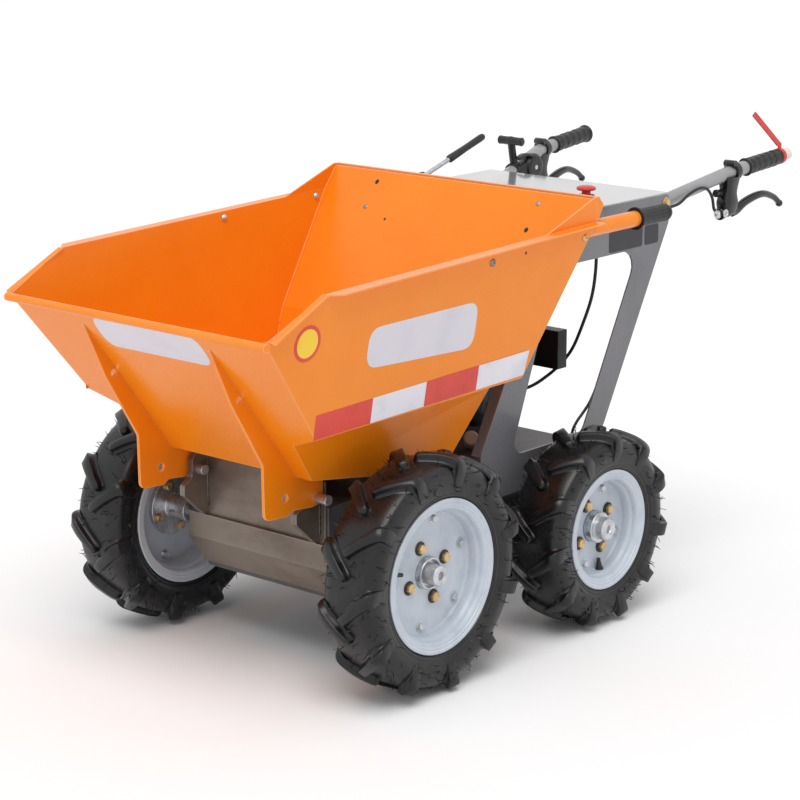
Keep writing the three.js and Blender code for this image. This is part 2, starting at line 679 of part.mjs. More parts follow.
{
  const y = 709;
  const tubeAt = atY(BAR_LEAVES, BAR_BEND, y);
  const foot = [tubeAt[0], y, tubeAt[2] + BAR_R + 1.5];
  const head = [tubeAt[0], y - 12, 868];
  const stem = bar(foot, head, 7, 6, 10);
  const bar0 = bar([head[0] - 33, head[1], head[2]], [head[0] + 33, head[1], head[2]], 10, 10, 12);
  const saddle = cut(
    box(tubeAt[0] - 9, tubeAt[0] + 9, y - 9, y + 9, tubeAt[2], foot[2] + 4),
    bar(atY(BAR_LEAVES, BAR_BEND, y - 40), atY(BAR_LEAVES, BAR_BEND, y + 40), BAR_R + GAP, BAR_R + GAP, 14),
  );
  add("starter_handle", mirrored(join(stem, bar0, saddle)), BLACK);

  const at = atY(BAR_LEAVES, BAR_BEND, 753);
  const face = at[0] - BAR_R - 1.2;
  const drum = bar([face - 22, 753, at[2] - 6], [face, 753, at[2] - 6], 30, 30, 20);
  const clampRing = cut(
    bar(atY(BAR_LEAVES, BAR_BEND, 745), atY(BAR_LEAVES, BAR_BEND, 761), CLAMP_R, CLAMP_R, 14),
    bar(atY(BAR_LEAVES, BAR_BEND, 700), atY(BAR_LEAVES, BAR_BEND, 790), BAR_R + GAP, BAR_R + GAP, 14),
  );
  const barFrom = atY(BAR_LEAVES, BAR_BEND, 700);
  const barTo = atY(BAR_LEAVES, BAR_BEND, 790);
  const freeDrum = cut(drum, bar(barFrom, barTo, BAR_R + GAP, BAR_R + GAP, 14));
  add("throttle_housing", mirrored(join(freeDrum, clampRing)), BLACK);
}

// ---- engine on the deck, between the side frames ---------------------------------------------------------------

const ENGINE_REAR_Y = 356;

{
  const deck = DECK_Z + GAP;
  const profile = rounded([
    [128, deck],
    [ENGINE_REAR_Y, deck],
    [ENGINE_REAR_Y, 520, 30],
    [300, 560, 20],
    [165, 560, 30],
    [128, 470, 20],
  ]);
  add("engine_block", plateX(profile, -170, 45), BLACK);
  const drum = bar([45 + GAP, 236, 452], [88, 236, 452], 92, 86, 24);
  add("recoil_housing", drum, BLACK);
  const tank = plateX(rounded([[172, 560 + GAP], [306, 560 + GAP], [320, 632, 24], [190, 632, 24]]), -150, 30);
  add("fuel_tank", tank, BLACK);
  const boxBody = box(75, 155, 374, 404, 468, 548);
  const arm = box(20, 90, ENGINE_REAR_Y + GAP, 375, 480, 500);
  add("air_filter_box", join(boxBody, arm), BLACK);
}

// ---- control cables held at both ends ------------------------------------------------------------------------

{
  const x = BAR_BEND[0];
  const under = CONSOLE_Z - CONSOLE_SHEET - GAP;
  const entry = [x, CABLE_NUT[0][1] - GAP, CABLE_NUT[0][2] + GAP];
  const brake = [entry, [x, 779, 761], [x + 1, 770, 785], [x + 1, 752, 804], [x, 726, 810],
    [x - 4, 692, 801], [x - 8, 662, 785], [FRAME_X + 3.5, 634, 779]];
  add("brake_cable_left", tube(brake, 3.2, 8, 22), BLACK);
  // From the console's underside, round behind the air filter to the engine.
  const throttle = [[162, 484, under], [162, 484, 780], [154, 500, 720], [152, 503, 660], [148, 496, 600], [132, 486, 538],
    [110, 482, 486], [85, 475, 451], [60, 463, 424], [36, 436, 402], [8, 380, 390], [8, ENGINE_REAR_Y + GAP, 390]];
  add("throttle_cable", tube(throttle, 3.5, 8, 28), BLACK);
  // Down inside the rear leg of the left frame to the deck.
  const rear = [[222, 545, under], [222, 545, 780], [225, 544, 710], [226, 534, 668], [226, 508, 619], [226, 482, 567],
    [226, 440, 484], [224, 398, 413], [219, 356, 372], [216, 346, 352], [216, 346, DECK_Z + GAP]];
  add("drive_cable", tube(rear, 3, 8, 26), BLACK);
}

// ---- checks of the whole, then the move to the base centre --------------------------------------------------

group.updateMatrixWorld(true);
const bounds = new THREE.Box3().setFromObject(group);
const middle = bounds.getCenter(new THREE.Vector3());
group.position.set(-middle.x, -middle.y, -bounds.min.z);

export default group;
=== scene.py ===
import math

import bmesh
import bpy
import numpy as np
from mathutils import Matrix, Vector


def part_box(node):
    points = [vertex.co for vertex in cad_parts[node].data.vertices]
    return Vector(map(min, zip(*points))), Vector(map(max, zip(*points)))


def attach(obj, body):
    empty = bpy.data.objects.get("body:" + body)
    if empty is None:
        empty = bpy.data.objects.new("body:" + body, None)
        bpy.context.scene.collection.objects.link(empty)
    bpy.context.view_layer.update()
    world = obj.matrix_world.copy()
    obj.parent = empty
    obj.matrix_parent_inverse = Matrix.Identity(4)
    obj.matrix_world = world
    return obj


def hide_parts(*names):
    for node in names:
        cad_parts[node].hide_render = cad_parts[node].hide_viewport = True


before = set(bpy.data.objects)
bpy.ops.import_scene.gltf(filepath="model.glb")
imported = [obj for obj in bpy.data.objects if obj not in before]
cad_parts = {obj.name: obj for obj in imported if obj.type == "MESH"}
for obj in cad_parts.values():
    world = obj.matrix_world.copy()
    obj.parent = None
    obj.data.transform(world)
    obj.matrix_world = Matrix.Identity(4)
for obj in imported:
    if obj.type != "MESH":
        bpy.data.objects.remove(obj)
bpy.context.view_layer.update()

# ---- Where the machine stands ----
# Sizes in this file are millimetres. The skip's lip faces -Y, the operator stands at +Y, the machine's left
# is +X, and y = 0 lies midway between the two axles.


def axle_middle_y(node):
    """An axle's y in the frame, in metres."""
    low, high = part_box(node)
    return (low.y + high.y) / 2


FRONT_Y_M, REAR_Y_M = axle_middle_y("axle_front"), axle_middle_y("axle_rear")
MIDDLE_Y_M = (FRONT_Y_M + REAR_Y_M) / 2
AXLE_Y = {"front": (FRONT_Y_M - MIDDLE_Y_M) * 1000, "rear": (REAR_Y_M - MIDDLE_Y_M) * 1000}


def metres(points):
    """Millimetres about the middle of the wheelbase, as metres in the frame."""
    return (np.asarray(points, float) + (0, MIDDLE_Y_M * 1000, 0)) / 1000


# ---- Camera ----
# Stands ahead of the machine's left front corner, a little above it, with a long lens, so far away that its
# near and far sides show at nearly the same scale.

VIEW_AZIMUTH = 40.865
VIEW_ELEVATION = 14.066
VIEW_DISTANCE = 4923.7
VIEW_CENTRE = (0, 61.1, 438.2)
SENSOR_WIDTH, LENS = 36, 111.15
FAR_CLIP = 200  # metres

turn, rise = math.radians(VIEW_AZIMUTH), math.radians(VIEW_ELEVATION)
towards_camera = Vector((math.sin(turn) * math.cos(rise), -math.cos(turn) * math.cos(rise), math.sin(rise)))
camera = bpy.data.objects.new("camera", bpy.data.cameras.new("camera"))
bpy.context.collection.objects.link(camera)
camera.data.sensor_width, camera.data.lens, camera.data.clip_end = SENSOR_WIDTH, LENS, FAR_CLIP
camera.location = Vector(metres(VIEW_CENTRE)) + towards_camera * VIEW_DISTANCE / 1000
camera.rotation_mode = "QUATERNION"
camera.rotation_quaternion = (-towards_camera).to_track_quat("-Z", "Y")
bpy.context.scene.camera = camera

# ---- Light and floor ----
# A wide pale floor under an even white sky, with one large soft lamp high on the left, as in a product studio.
# The floor takes the machine's shadow and goes to white where nothing shades it.

SKY_LIGHT = 0.64
SUN_LIGHT = 1.55
SUN_SPREAD = 40
SUN_TRAVELS = (-0.30, 0.42, -1.0)
FLOOR_HALF = 60000
FLOOR_COLOUR = (0.98, 0.98, 0.985, 1)
WHITE = (1, 1, 1, 1)


def wire(tree, node, wires):
    """Each input named in wires gets its value, or a link from the output that feeds it."""
    for key, value in wires.items():
        if isinstance(value, bpy.types.NodeSocket):
            tree.links.new(value, node.inputs[key])
        else:
            node.inputs[key].default_value = value
    return node


def add_node(tree, kind, wires={}, **settings):
    """A new shader node of that kind, with its settings and its inputs."""
    node = tree.nodes.new("ShaderNode" + kind)
    for key, value in settings.items():
        setattr(node, key, value)
    return wire(tree, node, wires)


scene = bpy.context.scene
scene.view_settings.view_transform = "Standard"

world = bpy.data.worlds.new("studio")
scene.world = world
world.use_nodes = True
sky = world.node_tree
sky.nodes.clear()
rays = add_node(sky, "LightPath").outputs
straight = add_node(sky, "Math", {0: rays["Is Camera Ray"], 1: rays["Is Glossy Ray"]}, operation="MAXIMUM")
seen = add_node(sky, "Math", {0: straight.outputs[0], 1: rays["Is Transmission Ray"]}, operation="MAXIMUM")
sky_light = add_node(sky, "Background", {"Color": WHITE, "Strength": SKY_LIGHT})
sky_seen = add_node(sky, "Background", {"Color": WHITE, "Strength": 1.0})
sky_mix = add_node(sky, "MixShader", {0: seen.outputs[0], 1: sky_light.outputs[0], 2: sky_seen.outputs[0]})
add_node(sky, "OutputWorld", {"Surface": sky_mix.outputs[0]})

sun = bpy.data.objects.new("studio_lamp", bpy.data.lights.new("studio_lamp", "SUN"))
bpy.context.collection.objects.link(sun)
sun.data.energy = SUN_LIGHT
sun.data.angle = math.radians(SUN_SPREAD)
sun.rotation_mode = "QUATERNION"
sun.rotation_quaternion = Vector(SUN_TRAVELS).to_track_quat("-Z", "Y")

floor_mesh = bpy.data.meshes.new("floor")
side = FLOOR_HALF / 1000
floor_mesh.from_pydata([(-side, -side, 0), (side, -side, 0), (side, side, 0), (-side, side, 0)], [], [(0, 1, 2, 3)])
floor = bpy.data.objects.new("floor", floor_mesh)
bpy.context.collection.objects.link(floor)
floor_finish = bpy.data.materials.new("studio_floor")
floor_finish.use_nodes = True
floor_tree = floor_finish.node_tree
floor_tree.nodes.clear()
floor_paint = add_node(floor_tree, "BsdfDiffuse", {"Color": FLOOR_COLOUR})
add_node(floor_tree, "OutputMaterial", {"Surface": floor_paint.outputs[0]})
floor_mesh.materials.append(floor_finish)

# ---- Tyres ----
# Four block-tread farm tyres: moulded black rubber, eleven slanting bars on each side that meet in a V,
# fine rings on the sidewall, and the thin vent hairs that moulding leaves. Each is fitted on its rim's beads.

WHEEL_MIDDLE_X = 326
WHEELS = {
    "front": {"radius": 228, "flange": 144.5, "bar_turn": 13.6, "seed": 7},
    "rear": {"radius": 199, "flange": 119, "bar_turn": 20.5, "seed": 8},
}
BARS = 11
BAR_HEIGHT = 14.5
INNER_SHIFT = 0.34  # the inner side's bars stand this share of a step further on
BAR_LEAD = 15  # degrees by which a bar's inner end goes ahead of its shoulder end
BAR_LINE = [-7, 6, 22, 38, 52, 64, 78, 94]  # along the tyre's skin from its middle line, outwards
BAR_TURN = [1.0, 0.80, 0.55, 0.30, 0.06, 0.0, 0.0, 0.0]  # share of the lead
BAR_WIDE = [17, 18, 19, 21, 25, 26, 23, 19]
BAR_TALL = [13, 14.2, 14.4, 14.8, 15.5, 8.5, 3.2, 2]
BAR_ACROSS = [[-7, -2.5], [-3.6, -0.2], [-1.6, 1.4], [-0.4, 5], [0, 10], [0.4, 12.9], [1.7, 14]]
SIDE_RINGS = (5.0, 9.5, 18.0)  # the sidewall's fine rings, out from the rim's flange
RING_TALL, RING_WIDE = 1.1, 0.9
HAIRS = 520
HAIR_ABOVE = 12  # hairs start this far out from the rim's flange
HAIR_SIDE = 68  # no hair stands further out than this from the wheel's middle


X, Y, Z = np.eye(3)  # the frame's axes


def skin(rows, close_rows=False):
    """Rows of points, as many in each, as one surface: quads join each point to the next in its row, which
    closes on itself, and to the same places in the next row."""
    rows = np.asarray(rows, float)
    n, m = rows.shape[:2]
    r, c = np.arange(n if close_rows else n - 1)[:, None], np.arange(m)[None, :]
    r1, c1 = (r + 1) % n, (c + 1) % m
    return rows.reshape(-1, 3), np.stack([r * m + c, r1 * m + c, r1 * m + c1, r * m + c1], -1).reshape(-1, 4)


def joined(*parts):
    """Several (points, faces) surfaces as one: the faces of each are counted on from the points before it."""
    starts = np.cumsum([0] + [len(points) for points, faces in parts[:-1]])
    faces = [part[1] + start for part, start in zip(parts, starts)]
    return np.concatenate([part[0] for part in parts]), np.concatenate(faces)


def repeated(part, copies):
    """One surface in several places: copies is an array of point sets, each in the order of the part's points."""
    count, size = copies.shape[:2]
    faces = part[1][None] + np.arange(count)[:, None, None] * size
    return copies.reshape(-1, 3), faces.reshape(-1, 4)


def turns(count):
    """That many equal turns about a circle, from 0."""
    return np.linspace(0, 2 * np.pi, count, endpoint=False)


def unit(vectors):
    """Vectors divided by their lengths."""
    vectors = np.asarray(vectors, float)
    return vectors / np.maximum(np.linalg.norm(vectors, axis=-1, keepdims=True), 1e-9)


def smooth_line(points, steps):
    """A Catmull-Rom curve through the points: on each span it is the cubic of the span's ends and their
    neighbours, with each end's slope half the difference of the points on both sides of it."""
    p = np.asarray(points, float)
    p = np.vstack([2 * p[0] - p[1], p, 2 * p[-1] - p[-2]])
    t = np.linspace(0, 1, steps, endpoint=False)[None, :, None]
    a, b, c, d = (p[i : len(p) - 3 + i, None] for i in range(4))
    spans = 0.5 * (2 * b + (c - a) * t + (2 * a - 5 * b + 4 * c - d) * t**2 + (3 * b - a - 3 * c + d) * t**3)
    return np.vstack([spans.reshape(-1, p.shape[1]), p[-2]])


def filleted(corners, radius, steps, closed=False):
    """A line with its corners rounded: each corner c becomes the curve (1-t)^2 a + 2t(1-t) c + t^2 b, where a
    and b lie the radius before and after it, or under half a side where the side is short."""
    p = np.asarray(corners, float)
    before, after = np.roll(p, 1, 0) - p, np.roll(p, -1, 0) - p
    room = 0.46 * np.minimum(np.linalg.norm(before, axis=1), np.linalg.norm(after, axis=1))
    reach = np.minimum(np.broadcast_to(np.asarray(radius, float), len(p)), room)[:, None]
    a, b = p + unit(before) * reach, p + unit(after) * reach
    t = np.linspace(0, 1, steps + 1)[None, :, None]
    curve = (1 - t) ** 2 * a[:, None] + 2 * t * (1 - t) * p[:, None] + t**2 * b[:, None]
    if closed:
        return curve.reshape(-1, p.shape[1])
    return np.vstack([p[:1], curve[1:-1].reshape(-1, p.shape[1]), p[-1:]])


def turned(profile, base, axis, sides, closed=False):
    """A profile of [along, radius] turned about an axis through base: each point is
    base + along * axis + radius * (cos t * u + sin t * v), with u and v square to the axis and t the turn."""
    profile, axis = np.asarray(profile, float), unit(axis)
    u = unit(np.cross(axis, Z if abs(axis[2]) < 0.9 else X))
    v = np.cross(axis, u)
    t = turns(sides)[:, None]
    ring = np.cos(t) * u + np.sin(t) * v
    return skin(np.asarray(base, float) + profile[:, :1, None] * axis + profile[:, 1:, None] * ring[None], closed)


def carried(path, section, up):
    """A closed section [side, over] carried along a path: each point is path + side * s + over * n, with s
    square to the path and to up, and n square to both. Both ends are closed at the path's end points."""
    path = np.asarray(path, float)
    along = unit(np.gradient(path, axis=0))
    s = unit(np.cross(along, np.asarray(up, float)))
    n = np.cross(s, along)
    section = np.broadcast_to(section, (len(path),) + np.shape(section)[-2:])
    rows = path[:, None] + section[..., :1] * s[:, None] + section[..., 1:] * n[:, None]
    ends = np.broadcast_to(path[[0, -1]][:, None], (2, rows.shape[1], 3))
    return skin(np.concatenate([ends[:1], rows, ends[1:]]))


def round_section(radius, sides):
    """A circle of that radius as [side, over] points; the radius may be one value for each point of a path."""
    t = turns(sides)
    circle = np.stack([np.cos(t), np.sin(t)], -1)
    return np.asarray(radius, float).reshape(-1, 1, 1) * circle


def mirrored(part):
    """The same surface on the machine's other side: x becomes -x."""
    return part[0] * (-1, 1, 1), part[1]


def moved(part, by):
    """The same surface moved by [x, y, z]."""
    return part[0] + by, part[1]


def make_piece(name, part, body, finish, replaced=(), sharp=32):
    """A (points, faces) surface as a piece: points that meet become one, which closes seams and poles, faces
    are turned outwards, and edges sharper than the given angle stay crisp."""
    mesh = bpy.data.meshes.new(name)
    mesh.from_pydata(metres(part[0]).tolist(), [], part[1].tolist())
    cleaned = bmesh.new()
    cleaned.from_mesh(mesh)
    bmesh.ops.remove_doubles(cleaned, verts=cleaned.verts, dist=0.00001)
    bmesh.ops.recalc_face_normals(cleaned, faces=cleaned.faces)
    cleaned.to_mesh(mesh)
    cleaned.free()
    mesh.shade_smooth()
    mesh.set_sharp_from_angle(angle=math.radians(sharp))
    mesh.materials.append(finish)
    piece = bpy.data.objects.new(name, mesh)
    bpy.context.collection.objects.link(piece)
    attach(piece, body)
    if replaced:
        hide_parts(*replaced)


def make_pair(name, part, body, finish, replaced="", sharp=32):
    """A piece on the left and its mirror image on the right, each in place of the frame's part of that side.
    A body whose name ends in _ is one of a left and right pair too."""
    for side, surface in (("left", part), ("right", mirrored(part))):
        make_piece(f"{name}_{side}", surface, body + side if body[-1] == "_" else body, finish,
                   [f"{replaced}_{side}"] if replaced else (), sharp)


def colour(red, green, blue):
    """A colour written 0 to 255 as a painter's chart gives it, as the linear values that a shader takes."""
    c = np.array([red, green, blue]) / 255
    linear = np.where(c <= 0.04045, c / 12.92, ((c + 0.055) / 1.055) ** 2.4)
    return (*linear.tolist(), 1)


def make_finish(name, base, worn, rough, metal=0.0, patch=30, speck=900, share=(0.45, 0.75), spread=0.08,
                bump=0.15, depth=0.0002, coat=0.0, specular=0.5, stretch=(1, 1, 1), edge=None, edge_highlight_share=0.5,
                edge_highlight_size=2.5):
    """A surface finish. Large soft patches of noise mix the base colour with the worn one between the two
    values of share, fine specks vary the roughness by the spread and raise the surface by the depth, and
    where an edge colour is given it is painted on corners within edge_highlight_size millimetres: a painted
    highlight, and on paint partly also paint that lies thin over the bends."""
    material = bpy.data.materials.new(name)
    material.use_nodes = True
    tree = material.node_tree
    place = add_node(tree, "TexCoord").outputs["Object"]
    place = add_node(tree, "Mapping", {"Vector": place, "Scale": stretch}).outputs[0]
    patches = add_node(tree, "TexNoise", {"Vector": place, "Scale": patch, "Detail": 9, "Roughness": 0.62})
    specks = add_node(tree, "TexNoise", {"Vector": place, "Scale": speck, "Detail": 4}).outputs["Fac"]
    ramp = add_node(tree, "MapRange", {"Value": patches.outputs["Fac"], "From Min": share[0], "From Max": share[1]},
                    interpolation_type="SMOOTHSTEP")
    paint = add_node(tree, "Mix", {"Factor": ramp.outputs["Result"], "A": colour(*base), "B": colour(*worn)},
                     data_type="RGBA").outputs["Result"]
    # Painted highlight: the edge colour is mixed in on corners, where the Bevel node's rounded normal leaves the
    # face's own normal.
    if edge:
        rounding = add_node(tree, "Bevel", {"Radius": edge_highlight_size / 1000}, samples=6).outputs["Normal"]
        facing = add_node(tree, "NewGeometry").outputs["Normal"]
        same = add_node(tree, "VectorMath", {0: rounding, 1: facing}, operation="DOT_PRODUCT").outputs["Value"]
        corner = add_node(tree, "MapRange", {"Value": same, "From Min": 0.995, "From Max": 0.90,
                                             "To Max": edge_highlight_share})
        paint = add_node(tree, "Mix", {"Factor": corner.outputs["Result"], "A": paint, "B": colour(*edge)},
                         data_type="RGBA").outputs["Result"]
    gloss = add_node(tree, "MapRange", {"Value": specks, "From Min": 0.3, "From Max": 0.7, "To Min": rough - spread,
                                        "To Max": rough + spread})
    raised = add_node(tree, "Bump", {"Height": specks, "Strength": bump, "Distance": depth})
    wire(tree, tree.nodes["Principled BSDF"], {
        "Base Color": paint, "Metallic": metal, "Roughness": gloss.outputs["Result"], "Coat Weight": coat,
        "Normal": raised.outputs["Normal"], "Coat Roughness": 0.08, "Specular IOR Level": specular})
    return material


rubber = make_finish("moulded_rubber", (17, 18, 20), (34, 34, 37), 0.30, patch=14, share=(0.46, 0.72), spread=0.06,
                     bump=0.2, depth=0.0003, specular=0.42)


def tyre_skin(radius, flange):
    """The tyre's cross-section without its bars, [out from the middle, radius], as a smooth closed curve from
    bead to bead over the crown, with three raised rings on each sidewall."""
    crown, seat = radius - BAR_HEIGHT, flange - 17.2
    depth = crown - flange
    side = [[44, seat], [47.6, seat + 3], [48.4, flange - 4], [50.5, flange + 2.5], [54.5, flange + 0.14 * depth],
            [58.6, flange + 0.38 * depth], [59.4, flange + 0.55 * depth], [57, flange + 0.74 * depth],
            [51, flange + 0.885 * depth], [38, flange + 0.962 * depth], [19, flange + 0.993 * depth]]
    line = smooth_line(side + [[0, crown]] + [[-x, r] for x, r in side[::-1]], 7)
    out = np.where(np.abs(line[:, 0]) > 49, np.sign(line[:, 0]), 0)
    rings = sum(np.exp(-(((line[:, 1] - flange - at) / RING_WIDE) ** 2)) for at in SIDE_RINGS)
    line[:, 0] += out * rings * RING_TALL
    return line


def tread_bar(radius, flange):
    """One tread bar on the outer side, its shoulder end at turn 0. A line along the tyre's skin turns from the
    bar's leading inner end to its shoulder and runs down the sidewall, and a section with sloping flanks and
    rounded top edges is carried on it: each point is skin + half width * across + height * outward."""
    line = tyre_skin(radius, flange)
    span = np.concatenate([[0], np.cumsum(np.linalg.norm(np.diff(line, axis=0), axis=1))])
    span = span[-1] / 2 - span  # 0 at the middle, growing towards +x
    order = np.argsort(span)
    span, line = span[order], line[order]
    smooth = np.stack([np.convolve(np.pad(line[:, k], 3, "edge"), np.ones(7) / 7, "valid") for k in (0, 1)], -1)
    tangent = unit(np.gradient(smooth, axis=0))
    outward = np.stack([-tangent[:, 1], tangent[:, 0]], -1)
    shape = smooth_line(np.stack([BAR_LINE, BAR_TURN, BAR_WIDE, BAR_TALL], -1), 5)
    at = shape[:, 0]
    end = np.clip((at - at[0]) / 8.5, 0, 1)
    foot = np.clip((at[-1] - at) / 7, 0, 1)
    wide = shape[:, 2] * np.sqrt(1 - (1 - end) ** 2) * (0.35 + 0.65 * np.sqrt(1 - (1 - foot) ** 2))
    tall = shape[:, 3] * (1 - (1 - np.clip(end * 1.35, 0, 1)) ** 3) * foot**0.5
    turn = math.radians(BAR_LEAD) * shape[:, 1]
    x, r = np.interp(at, span, line[:, 0]), np.interp(at, span, line[:, 1])
    nx, nr = np.interp(at, span, outward[:, 0]), np.interp(at, span, outward[:, 1])
    base = np.stack([x, r * np.cos(turn), r * np.sin(turn)], -1)
    out = unit(np.stack([nx, nr * np.cos(turn), nr * np.sin(turn)], -1))
    across = unit(np.cross(np.gradient(base, axis=0), out))
    side = np.repeat([-1.0, 1.0], len(BAR_ACROSS))
    inset, height = np.array(BAR_ACROSS + BAR_ACROSS[::-1]).T
    height = height / 14
    half = np.maximum(wide[:, None] / 2 - np.maximum(inset, 0) * np.minimum(1, wide[:, None] / 14), 0.4)
    spread = side * (half + np.maximum(-inset, 0) * np.minimum(1, tall[:, None] / 10))
    lift = np.where(height > 0, height * tall[:, None], height * 14 * 0.5)
    rows = base[:, None] + spread[..., None] * across[:, None] + lift[..., None] * out[:, None]
    under = base[:, None] - 4 * out[:, None]
    rows = np.concatenate([rows, np.broadcast_to(under, (len(base), 1, 3))], 1)
    cap = np.broadcast_to(under[[0, -1]], (2, rows.shape[1], 3))
    return skin(np.concatenate([cap[:1], rows, cap[1:]]))


def about_axle(points, angles, axle_y, axle_z):
    """Copies of points [x, outward, along the turn] about the axle: angle t from +Y towards +Z gives
    y = axle + a cos t - b sin t and z = axle + a sin t + b cos t."""
    t = np.asarray(angles, float)[:, None]
    x = np.broadcast_to(points[:, 0], (len(t), len(points)))
    y = axle_y + points[:, 1] * np.cos(t) - points[:, 2] * np.sin(t)
    z = axle_z + points[:, 1] * np.sin(t) + points[:, 2] * np.cos(t)
    return np.stack([x, y, z], -1)


def vent_hairs(radius, flange, seed):
    """Thin three-sided hairs standing on the skin and the bars' shoulders, each leaning at random and bent
    towards its tip: base, middle and tip are base + reach * lean, with a little droop."""
    rng = np.random.default_rng(seed)
    line = tyre_skin(radius, flange)
    pick = rng.choice(np.flatnonzero(line[:, 1] > flange + HAIR_ABOVE), HAIRS)
    t = rng.uniform(0, 2 * np.pi, HAIRS)
    x, r = line[pick, 0], line[pick, 1]
    steep = np.clip(np.abs(x) / 60, 0, 1) ** 3
    out = unit(np.stack([np.sign(x) * steep, (1 - 0.7 * steep) * np.cos(t), (1 - 0.7 * steep) * np.sin(t)], -1))
    lean = unit(out + rng.normal(0, 0.45, (HAIRS, 3)))
    reach = rng.uniform(8, 14.5, HAIRS)[:, None]
    base = np.stack([x, r * np.cos(t), r * np.sin(t)], -1)
    bend = unit(np.cross(lean, rng.normal(0, 1, (HAIRS, 3))))
    rings = [base - 2 * lean, base + 0.55 * reach * lean + 0.8 * bend, base + reach * lean + 3.2 * bend]
    corner = turns(3)[:, None, None]
    ring = np.moveaxis(np.cos(corner) * bend + np.sin(corner) * np.cross(lean, bend), 0, 1)
    rows = [rings[k][:, None] + thick * ring for k, thick in ((0, 0), (0, 0.95), (1, 0.8), (2, 0.35), (2, 0))]
    points = np.stack(rows, 1).reshape(HAIRS, -1, 3)
    points[..., 0] = np.clip(points[..., 0], -HAIR_SIDE, HAIR_SIDE)
    points[..., 2] = np.maximum(points[..., 2], -radius)
    return repeated(skin(points[0].reshape(5, 3, 3)), points)


for end, wheel in WHEELS.items():
    R, F, axle_y = wheel["radius"], wheel["flange"], AXLE_Y[end]
    parts = [turned(tyre_skin(R, F), (0, axle_y, R), X, 132, closed=True)]
    outer = tread_bar(R, F)
    for bar, shift in ((outer, 0), (mirrored(outer), INNER_SHIFT)):
        angles = math.radians(wheel["bar_turn"]) + 2 * np.pi / BARS * (np.arange(BARS) + shift)
        parts.append(repeated(bar, about_axle(bar[0], angles, axle_y, R)))
    parts.append(moved(vent_hairs(R, F, wheel["seed"]), (0, axle_y, R)))
    tyre = moved(joined(*parts), (WHEEL_MIDDLE_X, 0, 0))
    make_pair(f"tread_tyre_{end}", tyre, f"wheel_{end}_", rubber, f"tyre_{end}", 48)

# ---- Rims ----
# Dished steel rims in pale blue-grey stove paint, pressed with a drop well and rolled flange edges. Zinc bolts
# hold each rim's two halves together, and a rubber valve stands out of the well.

RIM_BOLTS = {"front": (6, 19.7, 101.5), "rear": (4, 70.0, 77.0)}  # count, first turn, radius
VALVES = {"front": (168.5, 39), "rear": (-81.4, 23)}  # turn, length
VALVE_X = 20
RIM_HOLE = {"front": 31.4, "rear": 32.4}  # radius of the disc's hole
DISC_X = 12  # the disc's outer face, out from the wheel's middle
WASHER_THICK = 1.6

# The edge colour is a painted highlight along the rim's rolled edges and steps.
rim_paint = make_finish("rim_stove_paint", (194, 202, 212), (176, 185, 197), 0.34, patch=22, speck=700,
                        share=(0.4, 0.8), spread=0.05, bump=0.08, edge=(228, 232, 238), edge_highlight_share=0.7,
                        edge_highlight_size=1.8)
zinc = make_finish("zinc_plate", (206, 208, 212), (166, 167, 170), 0.30, metal=0.85, patch=60, share=(0.4, 0.75),
                   bump=0.12)
yellow_zinc = make_finish("yellow_zinc_plate", (218, 186, 136), (184, 146, 98), 0.34, metal=0.75, patch=70,
                          share=(0.4, 0.75), bump=0.12)
black_rubber = make_finish("black_rubber", (20, 20, 22), (36, 36, 38), 0.42, patch=40, speck=1200,
                           share=(0.5, 0.8), bump=0.2, depth=0.0003)


def rim_line(flange, hole):
    """The rim's closed cross-section, [out from the middle, radius]: out from the disc's hole, up the well,
    over the bead seat, round the rolled edge, back along the tyre's side, and the same on the inner half."""
    f = flange
    outer = [[DISC_X, hole], [DISC_X, f - 33], [13.2, f - 29.6], [16.5, f - 27.4], [22, f - 27], [30.5, f - 26.6],
             [34, f - 25], [38, f - 21.6], [44.2, f - 20.6], [47.6, f - 18.6], [49.4, f - 16.4], [49.7, f - 11.6],
             [51.4, f - 10.6], [51.7, f - 5.6], [53.2, f - 4.4], [53.8, f - 0.4], [52.8, f + 1.6], [51.0, f + 2.0],
             [49.4, f + 1.0],
             [48.5, f - 2], [47.4, f - 12], [45.2, f - 16.8], [40, f - 17.8], [35.5, f - 19], [31, f - 23.6]]
    inner = [[-x, r] for x, r in outer[::-1]]
    inner = [p for p in inner if p[0] < -29]
    back = [[DISC_X - 4, f - 27], [DISC_X - 4, hole]]
    return np.array(outer + inner + back, float)


def hex_bolt(across, head, washer=0.0):
    """A hexagon head on its washer, as two turned surfaces along +X from 0: the six-sided head has its corners
    taken off at the top, and the washer is a flat ring."""
    r = across / math.sqrt(3)
    w = WASHER_THICK if washer else 0
    bolt = turned([[w, 0], [w, r], [w + head * 0.82, r], [w + head, r * 0.86], [w + head, r * 0.5],
                   [w + head - 0.6, r * 0.42], [w + head - 0.6, 0]], (0, 0, 0), X, 6)
    if not washer:
        return bolt
    ring = [[-0.5, 0], [-0.5, washer], [w - 0.4, washer], [w, washer - 0.6], [w, 0]]
    return joined(bolt, turned(ring, (0, 0, 0), X, 24))


def ring_of(part, x, radius, count, first, axle_y, axle_z):
    """The same small part at equal turns about the axle, at a radius, with its own axis along X."""
    points = part[0] + (x, radius, 0)
    angles = math.radians(first) + 2 * np.pi * np.arange(count) / count
    return repeated(part, about_axle(points, angles, axle_y, axle_z))


